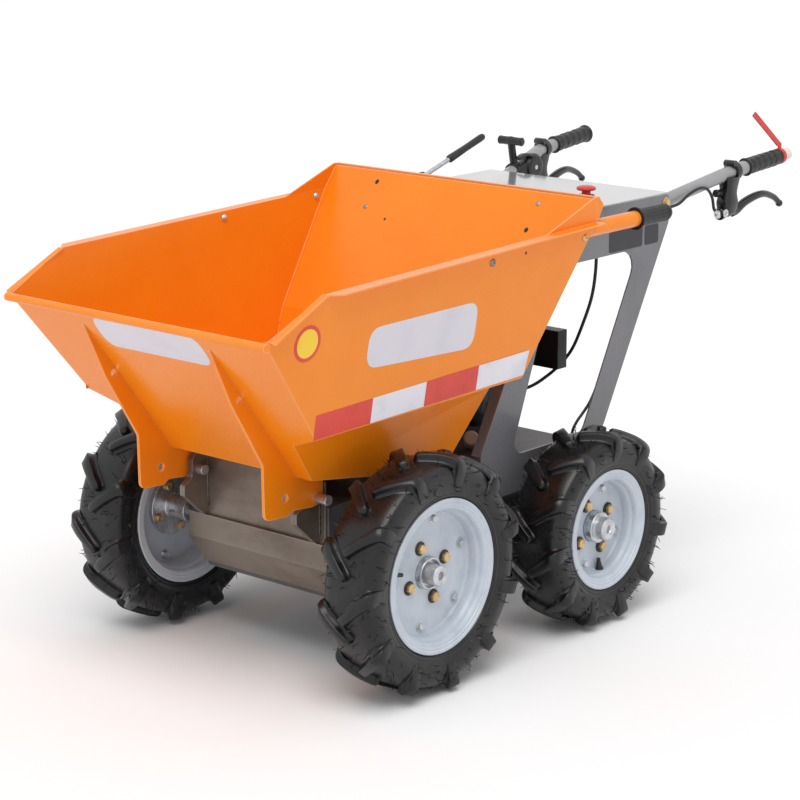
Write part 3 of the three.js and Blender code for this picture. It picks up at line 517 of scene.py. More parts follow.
for end, wheel in WHEELS.items():
    R, F, axle_y = wheel["radius"], wheel["flange"], AXLE_Y[end]
    shell = turned(rim_line(F, RIM_HOLE[end]), (WHEEL_MIDDLE_X, axle_y, R), X, 120, closed=True)
    count, first, at = RIM_BOLTS[end]
    disc = WHEEL_MIDDLE_X + DISC_X
    heads = ring_of(hex_bolt(13, 5.5, 10.5), disc, at, count, first, axle_y, R)
    nuts = ring_of(mirrored(hex_bolt(13, 7, 10.5)), disc - 4, at, count, first, axle_y, R)
    turn_at, reach = VALVES[end]
    stem = turned([[-1.5, 0], [-1.5, 9], [2, 8.4], [5, 6], [0.6 * reach, 4.8], [0.6 * reach + 1, 4], [reach - 1, 3.9],
                   [reach, 3.2], [reach, 0]], (WHEEL_MIDDLE_X + VALVE_X, F - 27, 0), (0, -1, 0), 20)
    valve = repeated(stem, about_axle(stem[0], [math.radians(turn_at)], axle_y, R))
    body = f"wheel_{end}_"
    make_pair(f"pressed_rim_{end}", shell, body, rim_paint, f"rim_{end}", 24)
    make_pair(f"rim_bolts_{end}", joined(heads, nuts), body, zinc)
    make_pair(f"tyre_valve_{end}", valve, body, black_rubber)

# ---- Hubs and axles ----
# Turned steel hubs, zinc plated, bolted behind the discs with yellow-zinc wheel bolts on dark washers. Each
# turns on the end of an axle that runs right through the chassis.

WHEEL_BOLTS = {"front": (20.3, 2.4), "rear": (28.1, 3.6)}  # first turn, washer's thickness
BOLT_CIRCLE = 53
HUB_BACK = 323.7  # the flange's inner face
HUB_FOOT = [[274, 0], [274, 23], [275, 24], [322, 24], [HUB_BACK, 26], [HUB_BACK, 59], [324.7, 60], [333, 60],
            [333.7, 59.4]]
HUB_NOSE = {
    "front": [[333.7, 30.6], [348.6, 30.6], [350, 29.6], [350, 27], [341, 26], [340, 25], [340, 20.6], [341, 19.8],
              [371.4, 19.6], [373.4, 17.8], [373.4, 8.4], [372.4, 7.4], [366, 7], [366, 0]],
    "rear": [[333.7, 31.4], [355.6, 31.4], [357.2, 30], [357.2, 23.4], [358, 22.6], [375.6, 22.4], [378, 20],
             [378, 9], [377, 8], [371, 7.4], [371, 0]],
}

axle_steel = make_finish("axle_steel", (150, 152, 156), (96, 92, 88), 0.36, metal=0.9, speck=800, share=(0.45, 0.7))
dark_steel = make_finish("dark_steel", (62, 61, 62), (92, 86, 80), 0.45, metal=0.7, patch=40, share=(0.5, 0.75),
                         bump=0.2)

for end, wheel in WHEELS.items():
    R, axle_y = wheel["radius"], AXLE_Y[end]
    hub = turned(HUB_FOOT + HUB_NOSE[end], (0, axle_y, R), X, 56)
    first, thick = WHEEL_BOLTS[end]
    disc = WHEEL_MIDDLE_X + DISC_X
    bolts = ring_of(hex_bolt(17, 8), disc + thick, BOLT_CIRCLE, 4, first, axle_y, R)
    studs = ring_of(mirrored(hex_bolt(15, 7)), HUB_BACK, BOLT_CIRCLE - 6, 4, first, axle_y, R)
    ring = [[-0.3, 0], [-0.3, 13.4], [thick - 0.6, 13.4], [thick, 12.6], [thick, 0]]
    washers = ring_of(turned(ring, (0, 0, 0), X, 28), disc, BOLT_CIRCLE, 4, first, axle_y, R)
    body = f"wheel_{end}_"
    make_pair(f"turned_hub_{end}", hub, body, zinc, f"hub_{end}", 40)
    make_pair(f"wheel_bolts_{end}", joined(bolts, studs), body, yellow_zinc)
    make_pair(f"wheel_washers_{end}", washers, body, dark_steel)


def dress(node, finish, edge=0.9, steps=2):
    """A frame part keeps its own mesh. Its finish is put on, and where an edge is given its corners are welded
    together and its edges get a rounded arris of that many millimetres."""
    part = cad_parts[node]
    part.data.materials.clear()
    part.data.materials.append(finish)
    if edge:
        part.modifiers.new("welded_corners", "WELD").merge_threshold = 0.00002
        arris = part.modifiers.new("rounded_arris", "BEVEL")
        arris.width, arris.segments = edge / 1000, steps
        arris.limit_method, arris.angle_limit = "ANGLE", math.radians(31)


dress("axle_front", axle_steel, 0.6)
dress("axle_rear", axle_steel, 0.6)

# ---- Chassis and gearbox ----
# A box folded from 4 mm plate, open below, with a deck plate welded on top and a bearing housing at each axle
# end. It is painted mid grey, and the cast gearbox hangs from the deck inside it.

# The edge colour is a painted highlight on the plates' corners, partly also paint that lies thin there.
frame_paint = make_finish("frame_grey_paint", (112, 112, 117), (98, 98, 102), 0.30, patch=7, share=(0.4, 0.8),
                          spread=0.06, bump=0.08, coat=0.3, edge=(196, 196, 200), edge_highlight_share=0.45, edge_highlight_size=1.8)
# The edge colour is a painted highlight on the chassis's corners.
chassis_paint = make_finish("chassis_dark_paint", (92, 91, 92), (66, 63, 60), 0.46, patch=6, speck=700,
                            share=(0.38, 0.72), bump=0.2, depth=0.0003, edge=(140, 138, 136), edge_highlight_share=0.4)
cast_metal = make_finish("cast_metal", (84, 86, 90), (58, 56, 54), 0.6, metal=0.6, patch=20, speck=500,
                         share=(0.4, 0.7), bump=0.5, depth=0.0006)
dress("chassis", chassis_paint, 1.2)
dress("gearbox", cast_metal, 4, 3)

# ---- Front plate, pivot gussets and guard ----
# Bare mild steel, left uncoated: a plate across the chassis front, two thick gussets welded to it that carry
# the skip's pins, and a guard of folded sheet below with its lower corners cut back.

# The edge colour is a painted highlight on the steel's corners.
bare_steel = make_finish("bare_mild_steel", (132, 122, 112), (100, 88, 78), 0.38, metal=0.55, patch=5, speck=600,
                         share=(0.35, 0.75), spread=0.1, stretch=(1, 1, 2.2), edge=(206, 200, 192), edge_highlight_share=0.6,
                         edge_highlight_size=2.2)
weld_steel = make_finish("weld_bead", (104, 98, 92), (60, 56, 54), 0.42, metal=0.7, patch=90, speck=700,
                         share=(0.4, 0.7), bump=0.5, depth=0.0006)
dress("front_plate", bare_steel, 1.0)
dress("front_guard", bare_steel, 0.9)
for side in ("left", "right"):
    dress(f"pivot_gusset_{side}", bare_steel, 1.6)
    dress(f"pivot_pin_{side}", zinc, 1.2)


def weld_bead(path, size, pitch, seed):
    """A weld laid along a path: a round section whose size swells once in every pitch, like overlapping drops,
    with a little seeded unevenness."""
    path = np.asarray(path, float)
    run = np.concatenate([[0], np.cumsum(np.linalg.norm(np.diff(path, axis=0), axis=1))])
    steps = max(int(run[-1] / pitch * 5), 8)
    at = np.linspace(0, run[-1], steps)
    line = np.stack([np.interp(at, run, path[:, k]) for k in range(3)], -1)
    rng = np.random.default_rng(seed)
    swell = 0.82 + 0.18 * np.abs(np.sin(np.pi * at / pitch)) + rng.normal(0, 0.03, steps)
    swell[[0, -1]] *= 0.6
    along = unit(path[-1] - path[0])
    up = Z if abs(along[2]) < 0.8 else X
    return carried(line, round_section(size * swell, 8), up)


GUSSET_Y = -341
beads = [weld_bead([[x, GUSSET_Y, 282], [x, GUSSET_Y, 386]], 3.2, 7, seed) for x, seed in ((140.4, 1), (151.6, 2))]
beads.append(weld_bead([[142, GUSSET_Y, 392.5], [150, GUSSET_Y, 392.5]], 3, 7, 5))
make_pair("gusset_welds", joined(*beads), "chassis", weld_steel, sharp=70)

# ---- Skip ----
# A tipping skip welded and folded from 3 mm sheet, glossy orange. Its rim is folded outwards, its lip is
# rolled, and two ribs welded on its front carry it on the pivot pins.

# The edge colour is a painted highlight on the folds and rim, partly also paint that lies thin over the bends.
skip_paint = make_finish("skip_orange_gloss", (247, 140, 18), (243, 132, 12), 0.24, patch=5, speck=260,
                         share=(0.3, 0.8), spread=0.05, bump=0.05, depth=0.0003, specular=0.38,
                         edge=(255, 205, 150), edge_highlight_share=0.6, edge_highlight_size=2.6)
dress("skip_tub", skip_paint, 0)
dress("skip_rib_left", skip_paint, 1.2)
dress("skip_rib_right", skip_paint, 1.2)
FLARE = 0.165  # the side panels lean out this much for each millimetre up
CREASE = (292, 519)  # [x, z] of the side panel at its fold
UPRIGHT_Z = 807  # the side panels stand upright above this
SHEET = 3
WALL = ((43, 592), (250, 860))  # two points [y, z] on the rear wall's inside
FRONT_LOW, FRONT_LIP = (-418, 412), (-658, 722)  # [y, z] on the front panel's outer face
WALL_LEAN = (WALL[1][0] - WALL[0][0]) / (WALL[1][1] - WALL[0][1])


def side_panel(points, lift):
    """Points [y, z] on the left side panel's outer face, raised by lift: x = 292 + 0.165 (z - 519), and
    upright above the long rim's height."""
    y, z = np.asarray(points, float).T
    normal = unit((1, 0, -FLARE))
    return np.stack([CREASE[0] + FLARE * (np.minimum(z, UPRIGHT_Z) - CREASE[1]), y, z], -1) + lift * normal


def front_panel(points, lift):
    """Points [x, z] on the front panel's outer face, raised by lift: it runs from the floor's front edge
    (y -418, z 412) to the lip (y -658, z 722)."""
    x, z = np.asarray(points, float).T
    forward, rise = FRONT_LIP[0] - FRONT_LOW[0], FRONT_LIP[1] - FRONT_LOW[1]
    y = FRONT_LOW[0] + forward * (z - FRONT_LOW[1]) / rise
    return np.stack([x, y, z], -1) + lift * unit((0, -rise, forward))


def rear_wall(points, lift):
    """Points [x, z] on the rear wall's inside, raised by lift towards the load."""
    x, z = np.asarray(points, float).T
    return np.stack([x, WALL[0][0] + WALL_LEAN * (z - WALL[0][1]), z], -1) + lift * unit((0, -1, WALL_LEAN))


def sticker(corners, radius, place, thick=0.35):
    """A thin sheet with rounded corners lying on a panel. Its outline is the filleted outline of its corners,
    once at the panel and once raised by its thickness, both closed to the middle."""
    outline = filleted(corners, radius, 6, closed=True)
    middle = np.broadcast_to(outline.mean(0), outline.shape)
    return skin([place(middle, 0.02), place(outline, 0.02), place(outline, thick), place(middle, thick)])


def disc_outline(at, radius, count=40):
    """Points round a circle about a place on a panel."""
    return at + round_section(radius, count)[0]


film_white = make_finish("white_film", (218, 214, 222), (208, 204, 213), 0.32, patch=10, speck=600, spread=0.05,
                         bump=0.05)
film_red = make_finish("red_reflective_film", (222, 62, 44), (206, 52, 38), 0.3, patch=16, speck=700, spread=0.06,
                       bump=0.12, depth=0.0003)
film_pale = make_finish("pale_reflective_film", (232, 228, 236), (214, 212, 222), 0.3, patch=16, speck=700,
                        spread=0.06, bump=0.12, depth=0.0003)
film_yellow = make_finish("yellow_film", (250, 206, 40), (242, 190, 30), 0.32, patch=16, speck=600, spread=0.05,
                          bump=0.05)
film_dark = make_finish("dark_film", (28, 28, 34), (40, 40, 48), 0.34, patch=16, speck=600, spread=0.05, bump=0.05)

LABEL = [[-391, 705], [-90, 708], [-90, 617], [-391, 630]]
TAPE_BREAKS = [-508, -359, -212, -62, 101]
TAPE_LOW, TAPE_HIGH = [520, 532], [567, 581]  # heights at the tape's two ends
TAPE_GAP = 0.3
TAPE_CUT = (19, 11)  # the rear end slants: this much shorter at its foot and at its top
BADGE_AT = (-553, 706)
side_label = sticker(LABEL, 30, side_panel)
tape = []
for k, (y0, y1) in enumerate(zip(TAPE_BREAKS, TAPE_BREAKS[1:])):
    low, high = (np.interp([y0, y1], TAPE_BREAKS[::4], z) for z in (TAPE_LOW, TAPE_HIGH))
    cut = TAPE_CUT if k == 3 else (0, 0)
    corners = [[y0 + TAPE_GAP, low[0]], [y1 - TAPE_GAP - cut[0], low[1]], [y1 - TAPE_GAP - cut[1], high[1]],
               [y0 + TAPE_GAP, high[0]]]
    tape.append(sticker(corners, 0.5, side_panel))
front_label = sticker([[-124, 707], [146, 707], [146, 646], [-124, 646]], 26, front_panel)
for name, part, finish in (
    ("blank_label", side_label, film_white),
    ("red_tape", joined(tape[0], tape[2]), film_red),
    ("pale_tape", joined(tape[1], tape[3]), film_pale),
    ("badge_rim", sticker(disc_outline(BADGE_AT, 33), 0.1, side_panel, 0.3), film_red),
    ("badge_face", sticker(disc_outline(BADGE_AT, 26), 0.1, side_panel, 0.5), film_yellow),
):
    make_pair(name, part, "skip", finish)
make_piece("blank_front_label", front_label, "skip", film_white)

# Two dome-headed screws through each side panel, of which the rear one on the left is yellow zinc, small bare
# holes drawn as thin dark discs of painted shade, small screws in the rear wall, and the painted welds inside the
# rear corners.
dome = turned([[-1, 0], [-1, 7.5], [0.8, 7.5], [2.8, 6.2], [4.3, 3.6], [4.7, 1.8], [3.4, 1.4], [3.4, 0]],
              (0, 0, 0), X, 24)


def screw_on(y, z):
    """A dome-headed screw on the left side panel, with the same head inside it."""
    at = side_panel([[y, z]], 0)[0]
    return joined(moved(dome, at), moved(mirrored(dome), at - (SHEET + 0.4, 0, 0)))


make_piece("panel_screw_left", screw_on(-65.8, 777.4), "skip", axle_steel)
make_piece("panel_bolt_left", screw_on(215.3, 785.2), "skip", yellow_zinc)
make_piece("panel_screws_right", mirrored(joined(screw_on(-91.5, 787.6), screw_on(181.3, 797.8))), "skip", zinc)
# Each hole is a thin dark disc of painted shade lying on the sheet.
hole_dark = make_finish("hole_shadow", (34, 24, 20), (46, 32, 26), 0.7, patch=60)
holes = [sticker(disc_outline(at, radius, count), 0.1, place, 0.3) for at, radius, count, place in (
    ((32.7, 781), 2.8, 24, side_panel), ((209, 788), 4.4, 24, rear_wall), ((-209, 835), 4.4, 24, rear_wall),
    ((-145, 771), 2.6, 20, rear_wall))]
make_piece("hole_shade_discs", joined(*holes), "skip", hole_dark)
plugs = []
for x, z in ((209, 835), (-209, 788)):
    at = rear_wall([[x, z]], 0)[0]
    plugs.append(turned([[-0.6, 0], [-0.6, 5], [0.8, 5], [1.6, 4], [2, 2], [2, 0]], at, (0, -1, WALL_LEAN), 28))
make_piece("wall_screws", joined(*plugs), "skip", axle_steel)
CORNER_FOOT_Y = 25.9  # below the wall the corner runs forwards on the ledge
corner_z = np.array([560, 592, 700, UPRIGHT_Z, 852], float)
corner = side_panel(np.stack([np.zeros(5), corner_z], -1), 0)
corner[:, 1] = rear_wall(np.stack([np.zeros(5), corner_z], -1), 0)[:, 1]
corner[0, 1] = CORNER_FOOT_Y
corner -= (SHEET + 0.6, 0.8, 0)
corner_weld = weld_bead(corner, 2.6, 6, 11)
make_piece("corner_welds", joined(corner_weld, mirrored(corner_weld)), "skip", skip_paint, sharp=70)

# ---- Lift handles ----
# A painted tube welded to each rear corner of the skip, behind its rear wall, by which it is tipped. A black
# rubber grip is pushed on its end, with a collar at its foot.

LIFT_X, LIFT_Z, LIFT_R = 317.5, 795, 16
LIFT_STARTS = WALL[0][0] + WALL_LEAN * (LIFT_Z - WALL[0][1]) + 1.3 * SHEET + 0.3  # against the wall's back
lift_path = smooth_line([[LIFT_X, y, LIFT_Z] for y in (LIFT_STARTS, 290, 350, 404)], 4)
lift_tube = carried(lift_path, round_section(LIFT_R, 40), Z)
at_wall = lift_tube[0][:, 1] < LIFT_STARTS + 1
lift_tube[0][at_wall, 1] += WALL_LEAN * (lift_tube[0][at_wall, 2] - LIFT_Z)
grip_line = filleted([[404.3, 0], [404.3, 23], [410.5, 23], [411.5, 18], [413, 16.4], [500, 16.4], [501.5, 17.6],
                      [507, 17.6], [509, 16], [514, 14.6], [514.6, 11], [514.6, 0]], 1.6, 3)
lift_grip = turned(grip_line, (LIFT_X, 0, LIFT_Z), Y, 48)
RIDGES, RIDGE_R = 18, 16.3  # fine ridges along the grip, and how far out they lie
RIDGE_Y = np.array([417, 440, 470, 497])
ridges = []
for t in turns(RIDGES):
    at = np.array([LIFT_X + RIDGE_R * math.cos(t), 0, LIFT_Z + RIDGE_R * math.sin(t)])
    ridge_path = at + RIDGE_Y[:, None] * Y
    ridges.append(carried(ridge_path, round_section(0.9, 8), Z))
make_pair("lift_handle", lift_tube, "skip", skip_paint, "lift_tube")
make_pair("lift_handle_grip", joined(lift_grip, *ridges), "skip", black_rubber, "lift_grip")

# ---- Side frames and console ----
# One 4 mm plate each side, laser cut with a large window, and a console of folded sheet across their tops.
# Painted mid grey. Dark plates on the frames are blank, and a yellow-zinc bolt holds each handlebar's lug.

dress("side_frame_left", frame_paint, 0.9)
dress("side_frame_right", frame_paint, 0.9)
# The edge colour is a painted highlight on the console's folds.
console_paint = make_finish("console_grey_paint", (160, 160, 164), (146, 146, 150), 0.24, patch=7, share=(0.4, 0.8),
                            spread=0.04, bump=0.04, coat=1.0, edge=(205, 205, 208))
dress("console_cover", console_paint, 1.0)
FRAME_X = 236


def frame_face(points, lift):
    """Points [y, z] on the left side frame's outer face, raised by lift."""
    y, z = np.asarray(points, float).T
    return np.stack([np.full(len(y), float(FRAME_X)) + lift, y, z], -1)


plate_wide = sticker([[432, 711], [547, 711], [547, 754], [432, 754]], 6, frame_face, 0.5)
plate_small = sticker([[555, 711], [603, 711], [603, 751], [555, 751]], 6, frame_face, 0.5)
frame_bolt = moved(hex_bolt(13, 5.5, 11), (FRAME_X, 628, 791))
make_pair("frame_plates", joined(plate_wide, plate_small), "chassis", film_dark)
make_pair("frame_bolts", frame_bolt, "chassis", yellow_zinc)

# ---- Handlebars and grips ----
# Bent 29 mm tube with mid grey paint, bolted inside the frames by a flat lug. Moulded rubber grips with
# raised pads are pushed on the ends.

BAR_R = 14.5
BAR_POINTS = np.array([[208, 560, 768], [216, 655, 789], [254, 837, 831], [263.5, 1021, 847]])


def on_bar(y):
    """The handlebar's centre at a given y, by straight lines between its bends."""
    x, along, z = BAR_POINTS.T
    return np.array([np.interp(y, along, x), y, np.interp(y, along, z)])


tube_paint = make_finish("tube_paint", (156, 156, 159), (140, 139, 142), 0.30, patch=10, share=(0.4, 0.8),
                         spread=0.05, bump=0.08, coat=0.2)
bar_path = filleted(BAR_POINTS, 34, 8)
bar_tube = carried(bar_path, round_section(BAR_R, 40), Z)
lug_outline = filleted([[566, 752], [632, 752], [632, 786], [566, 786]], 6, 4, closed=True)
LUG_X = (225.7, 231.7)  # the lug's two faces
lug_middle = lug_outline.mean(0)
lug = skin([np.column_stack([np.full(len(lug_outline), x), lug_outline * k + lug_middle * (1 - k)])
            for x, k in ((LUG_X[0], 0), (LUG_X[0], 1), (LUG_X[1], 1), (LUG_X[1], 0))])
held = unit(BAR_POINTS[3] - BAR_POINTS[2])


def rubber_grip(from_y, to_y, flare):
    """A ribbed sleeve along the bar's last run: a turned line with a collar at its front end, shallow waists
    between its pads, and a flared or plain rear end, and rows of raised pads round it."""
    start = on_bar(from_y)
    length = np.linalg.norm(on_bar(to_y) - start)
    run = np.linspace(0, length, 90)
    r = np.full(90, 17.2) + 0.25 * np.cos(run / length * 2 * np.pi * 6)
    r += 2.4 * np.exp(-(((run - 3) / 3.2) ** 2)) + flare * np.exp(-(((run - length + 4) / 5) ** 2))
    line = np.vstack([[0, 13.5], [0, r[0] - 1], np.column_stack([run[1:-1], r[1:-1]]), [length, r[-1] - 1.5],
                      [length, 0 if flare else 13.5]])
    parts = [turned(line, start, held, 48, closed=not flare)]
    u = unit(np.cross(held, Z))
    v = np.cross(held, u)
    for ring in np.linspace(20, length - 22, 5):
        for t in turns(7) + 0.4 * (ring % 2):
            centre = start + held * ring + 17.0 * (math.cos(t) * u + math.sin(t) * v)
            path = centre + np.array([-6.5, -6, -3, 0, 3, 6, 6.5])[:, None] * held
            pad = round_section([0.3, 0.9, 1.0, 1.0, 1.0, 0.9, 0.3], 10)
            parts.append(carried(path, pad * (4.6, 0.9), math.cos(t) * u + math.sin(t) * v))
    return joined(*parts)


grip_left = rubber_grip(888, 1008, 0.0)
grip_right = rubber_grip(888, 1021, 3.2)
make_pair("bent_handlebar", joined(bar_tube, lug), "chassis", tube_paint, "handlebar", sharp=40)
make_piece("ribbed_grip_left", grip_left, "chassis", black_rubber, ["handlebar_grip_left"])
make_piece("ribbed_grip_right", mirrored(grip_right), "chassis", black_rubber,
           ["handlebar_grip_right"])

# ---- Brake levers ----
# A cast clamp on each handlebar with a barrel below it, a curved blade that ends in a ball, and an adjuster
# nut that the cable enters. All are black except the adjuster's bright nut.

black_gloss = make_finish("black_lever_paint", (11, 11, 13), (22, 22, 24), 0.26, speck=800, share=(0.5, 0.8),
                          spread=0.07, coat=0.2)


def squarish_ring(power, count):
    """A ring drawn out towards a square: cos t and sin t, each raised to the power with its sign kept."""
    ring = round_section(1, count)[0]
    return np.sign(ring) * np.abs(ring) ** power


LEVER_X = 254
clamp_at = on_bar(840)
clamp = turned(filleted([[0, 14.7], [0, 20.5], [15.6, 20.5], [15.6, 14.7]], 1.6, 3), clamp_at, held, 40, closed=True)
ear = turned([[0, 0], [0, 7], [1, 7.6], [27, 7.6], [28, 7], [28, 0]], (LEVER_X - 14, 838, 849), X, 24)
body_path = smooth_line([[LEVER_X, y, z] for y, z in ((834, 822), (833, 800), (831, 780), (829, 762), (826, 746))], 5)
rise_u = np.linspace(0, 1, len(body_path))[:, None, None]
squarish = squarish_ring(0.6, 28)
body = carried(body_path, squarish * (17, 21) * (1 + 0.10 * np.cos(rise_u * 9)), Y)
barrel = turned(filleted([[0, 0], [0, 13], [6, 13.6], [20, 12], [34, 13.2], [46, 12.4], [58, 11], [58, 0]], 3, 3),
                (LEVER_X, 798, 745), unit((0, 58, 6)), 36)
knob = turned([[0, 0], [0, 7], [1, 8.2], [6, 8.2], [7, 6.6], [12, 6.4], [13, 8], [27, 8], [28.5, 6.6], [28.5, 0]],
              (LEVER_X - 6, 792, 790), unit((2, 28, -2)), 24)
nut = turned([[0, 0], [0, 7.2], [1, 7.8], [9, 7.8], [10, 7], [10, 5], [20, 4.4], [20, 0]], (LEVER_X, 798, 742),
             unit((0, -13, 13)), 24)
blade_path = smooth_line([[2, 846, 748], [2.6, 863, 751], [4, 888, 764], [8, 925, 774], [11, 957, 775],
                          [12.5, 991, 764], [13.5, 1012, 750]], 7) + (LEVER_X, 0, -4)
u = np.linspace(0, 1, len(blade_path))
wide = 6.2 + 3.8 * np.sin(np.pi * np.clip(u * 1.15, 0, 1)) ** 2
thick = 10.5 - 4.4 * u
blade = carried(blade_path, round_section(1, 28) * np.stack([wide, thick], -1)[:, None], Z)
q = np.linspace(0, np.pi, 14)
ball = turned(np.stack([-8 * np.cos(q), 8 * np.sin(q)], -1), blade_path[-1] + (0, 1, -2), Y, 24)
pivot = turned([[-14, 0], [-14, 5], [-13, 6], [13, 6], [14, 5], [14, 0]], (LEVER_X, 848, 750), X, 20)
lever = joined(clamp, ear, body, barrel, knob, blade, ball, pivot)
disc = turned([[-0.6, 0], [-0.6, 9], [1.4, 9], [2.4, 8], [2.4, 4], [1, 3.4], [1, 0]], (LEVER_X + 12, 806, 748),
              X, 24)
make_pair("brake_lever_cast", lever, "chassis", black_gloss, "brake_lever", sharp=40)
make_pair("brake_adjuster", joined(nut, disc), "chassis", zinc)

# ---- Red stop lever and stop button ----
# A flat red lever clipped on the left bar's end, where a pale sleeve is pushed in, and a red mushroom button in
# a black collar on the console. All are moulded plastic.

red_plastic = make_finish("red_plastic", (214, 52, 46), (190, 40, 38), 0.36, share=(0.45, 0.8), spread=0.05,
                          bump=0.1)
pale_plastic = make_finish("pale_plastic", (226, 222, 214), (208, 204, 198), 0.4, spread=0.05, bump=0.08)
CONSOLE_TOP = 811.3
dress("red_stop_lever", red_plastic, 0.7)
button_at = (140, 481, CONSOLE_TOP)
button = turned(filleted([[0, 0], [0, 14], [4.6, 13.2], [5, 9.4], [11.5, 9], [12, 12], [13.4, 19.2], [16.5, 20.4],
                          [19, 19.4], [21, 15], [22, 8], [22, 0]], 1.4, 3), button_at, Z, 48)
make_piece("mushroom_button", button, "chassis", red_plastic, ["stop_button"])
collar = turned(filleted([[-0.1, 14.4], [-0.1, 17.6], [3.4, 17], [3.8, 14.4]], 0.8, 2), button_at, Z, 40,
                closed=True)
make_piece("button_collar", collar, "chassis", black_rubber)
sleeve_end = turned(filleted([[-2, 0], [-2, 13.6], [22, 13.6], [24, 12.6], [24, 10.4], [4, 10.4], [4, 0]], 1, 2),
                    BAR_POINTS[3] - held, held, 36)
make_piece("bar_end_sleeve", sleeve_end, "chassis", pale_plastic)

# ---- Gear lever ----
# A long zinc-plated steel rod, bent near its foot, that rises from a boot on the console. A black plastic grip
# is pushed on its end.

foot, neck, tip = np.array([[-200, 318, CONSOLE_TOP], [-200, 449, 857], [-200, 567, 895]])
rod = carried(filleted([foot + (0, 0, 3), foot + (0, 14, 9), neck], 12, 6), round_section(5, 20), X)
boot = turned(filleted([[0, 0], [0, 14], [2, 14], [3.4, 10.5], [5, 11.4], [6.4, 9], [8, 9.6], [10, 6], [12, 5],
                        [12, 0]], 0.8, 2), foot, Z, 32)
grip = turned(filleted([[0, 0], [0, 6.4], [3, 8.4], [8, 8.6], [60, 7.4], [112, 7.8], [120, 7.2], [124, 4.5],
                        [124.4, 0]], 3, 4), neck, unit(tip - neck), 32)
make_piece("gear_rod", joined(rod, boot), "chassis", zinc, ["gear_lever"])
make_piece("gear_rod_grip", grip, "chassis", black_rubber, ["gear_lever_grip"])

# ---- Starter handle and throttle ----
# On the right handlebar: a T handle for the recoil starter on a short stem, and a round throttle drum on a
# clamp with a bright screw at its centre. Both are moulded black plastic.

plastic = make_finish("black_moulded_plastic", (20, 20, 22), (34, 34, 36), 0.38, speck=1000, share=(0.5, 0.8),
                      spread=0.06, bump=0.18, depth=0.0003)
run_middle = unit(BAR_POINTS[2] - BAR_POINTS[1])  # the bar's direction between its bends
STARTER_Y, THROTTLE_Y = 709, 753  # where the two sit along the bar
stem_foot = on_bar(STARTER_Y) + (0, 0, BAR_R - 2)
head = np.array([on_bar(STARTER_Y)[0], 697, 868])
stem_path = smooth_line([stem_foot, stem_foot + (0, -4, 14), head + (0, 2, -10), head], 5)
stem = carried(stem_path, round_section(8.4, 20), X)
cross_path = head + np.linspace(-33, 33, 25)[:, None] * X
fat = 10.2 - 2.0 * np.abs(np.linspace(-1, 1, 25)) ** 0.5 + 1.9 * np.abs(np.linspace(-1, 1, 25)) ** 4
fat[[0, -1]] = 6.5
cross = carried(cross_path, round_section(fat, 24), Z)
saddle = turned(filleted([[-10, 14.7], [-10, 18.6], [10, 18.6], [10, 14.7]], 1.5, 3), on_bar(STARTER_Y), run_middle,
                36, closed=True)
make_piece("starter_t_handle", mirrored(joined(stem, cross, saddle)), "chassis", plastic,
           ["starter_handle"])
drum_at = on_bar(THROTTLE_Y) - (BAR_R + 1.2, 0, 6)
drum = turned(filleted([[0, 0], [0, 29], [1, 30], [15, 30], [17, 27], [20, 26], [22, 20], [22, 6], [21, 5],
                        [21, 0]], 1.5, 3), drum_at, -X, 44)
clamp_ring = turned(filleted([[-8, 14.7], [-8, 20.6], [8, 20.6], [8, 14.7]], 1.5, 3), on_bar(THROTTLE_Y),
                    run_middle, 36, closed=True)
thumb_path = drum_at + smooth_line([[-12, -10, 26], [-12, -30, 30], [-12, -52, 22]], 6)
thumb = carried(thumb_path, round_section([5, 6, 6.4, 6.4, 6, 5.6, 5.2, 5, 4.8, 4.6, 4.4, 4, 2.5], 16) * (1.6, 0.7),
                Z)
guide_path = drum_at + smooth_line([[-2, 16, 4], [-4, -22, -2], [-4, -52, -16], [-2, -78, -28]], 6)
guide = carried(guide_path, squarish * np.linspace(24, 9, len(guide_path))[:, None, None] * (0.7, 1.0), Z)
make_piece("throttle_drum", mirrored(joined(drum, clamp_ring, thumb, guide)), "chassis", plastic,
           ["throttle_housing"])
screw = turned([[0, 0], [0, 5], [1.4, 5], [2.2, 4], [2.2, 1.6], [1.2, 1.2], [1.2, 0]], drum_at - (20.6, 0, 0),
               -X, 20)
make_piece("throttle_screw", mirrored(screw), "chassis", zinc)

# ---- Engine ----
# A small air-cooled engine bolted on the deck: a cast block with cooling fins, a recoil starter with a slotted
# cover, a plastic fuel tank on top, and a box-shaped air filter on an arm, nearly all of it black, with a pale
# fuel filter that leans on the deck.

engine_black = make_finish("engine_black", (24, 24, 26), (42, 41, 40), 0.46, metal=0.2, patch=18, speck=600,
                           bump=0.3, depth=0.0004)
COVER_AT = np.array([45.3, 236, 452])  # the middle of the recoil cover's foot
SLOTS, SLOT_RUN = 18, np.linspace(34, 60, 6)  # the cover's raised slots, and their run outwards
TANK_AT, TANK_HALF = (-60, 246), (90, 74)
TANK_LEVELS = [(560.3, 0), (560.3, 0.86), (566, 0.96), (576, 1.0), (600, 1.0), (616, 0.985), (626, 0.93), (631, 0.8),
               (632, 0.6), (632, 0)]  # height, and share of the full outline
dress("engine_block", engine_black, 3, 3)
recoil = turned(filleted([[0, 0], [0, 90], [4, 92], [20, 91], [24, 86], [34, 84], [38, 76], [42.7, 60], [42.7, 30],
                          [40, 26], [40, 0]], 3, 3), COVER_AT, X, 64)
slots = []
for t in turns(SLOTS):
    ray = math.cos(t) * Y + math.sin(t) * Z
    slot_path = COVER_AT + (42.1, 0, 0) + SLOT_RUN[:, None] * ray
    slots.append(carried(slot_path, round_section([1, 2, 2, 2, 2, 1], 8), X))
make_piece("recoil_cover", joined(recoil, *slots), "chassis", engine_black, ["recoil_housing"])
oval = squarish_ring(0.45, 48)
tank = skin([np.column_stack([TANK_AT + oval * TANK_HALF * k, np.full(48, z)]) for z, k in TANK_LEVELS])
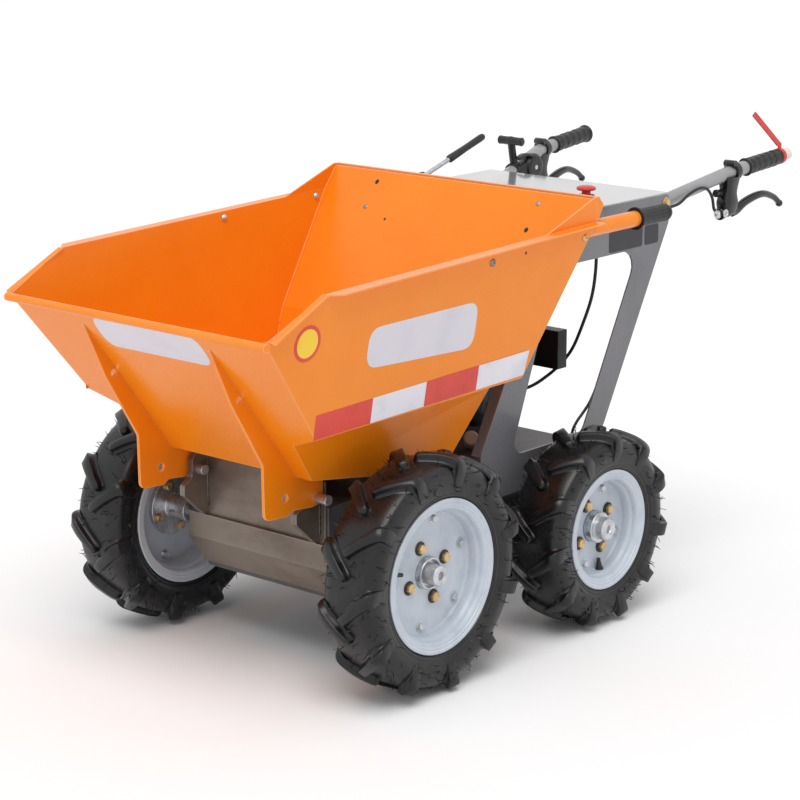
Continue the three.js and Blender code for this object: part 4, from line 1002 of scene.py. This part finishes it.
cap = turned(filleted([[0, 0], [0, 24], [8, 24], [10, 21], [10, 0]], 1.5, 2), (*TANK_AT, 631), Z, 32)
make_piece("moulded_tank", joined(tank, cap), "chassis", plastic, ["fuel_tank"])
dress("air_filter_box", plastic, 3, 3)
canister_axis = np.array([-50, 61, -29], float)
canister_length = np.linalg.norm(canister_axis)
canister = turned(filleted([[0, 0], [0, 13], [3, 15], [canister_length - 3, 15], [canister_length, 13],
                            [canister_length, 0]], 2, 3), (150, 102, 378), canister_axis, 36)
make_piece("fuel_filter", canister, "chassis", pale_plastic)

# ---- Control cables ----
# Three sleeved cables held at both ends: one from the left brake lever over its bar, one from the console
# round behind the air filter to the engine, and one down inside the left frame's rear leg to the deck.

sleeve = make_finish("cable_sleeve", (18, 18, 20), (32, 32, 34), 0.4, patch=40, speck=1400, spread=0.06,
                     share=(0.5, 0.8), bump=0.1)
CONSOLE_UNDER = 807.7
brake_line = [[254, 784.7, 755.3], [254, 779, 761], [255, 770, 785], [255, 752, 804], [254, 726, 810],
              [250, 692, 801], [246, 662, 785], [239.5, 634, 779]]
throttle_line = [[162, 484, CONSOLE_UNDER], [162, 484, 780], [154, 500, 720], [152, 503, 660], [148, 496, 600],
                 [132, 486, 538], [110, 482, 486], [85, 475, 451], [60, 463, 424], [36, 436, 402], [8, 380, 390],
                 [8, 356.3, 390]]
drive_line = [[222, 545, CONSOLE_UNDER], [222, 545, 780], [225, 544, 710], [226, 534, 668], [226, 508, 619],
              [226, 482, 567], [226, 440, 484], [224, 398, 413], [219, 356, 372], [216, 346, 352], [216, 346, 336.3]]
for name, line, radius, up, node in (
    ("brake_sleeve", brake_line, 3.2, (1, 0.1, 0.1), "brake_cable_left"),
    ("throttle_sleeve", throttle_line, 3.5, (0.3, 1, 0.2), "throttle_cable"),
    ("drive_sleeve", drive_line, 3.0, (1, 0.1, 0.1), "drive_cable"),
):
    cable = carried(smooth_line(line, 10), round_section(radius, 14), up)
    make_piece(name, cable, "chassis", sleeve, [node])
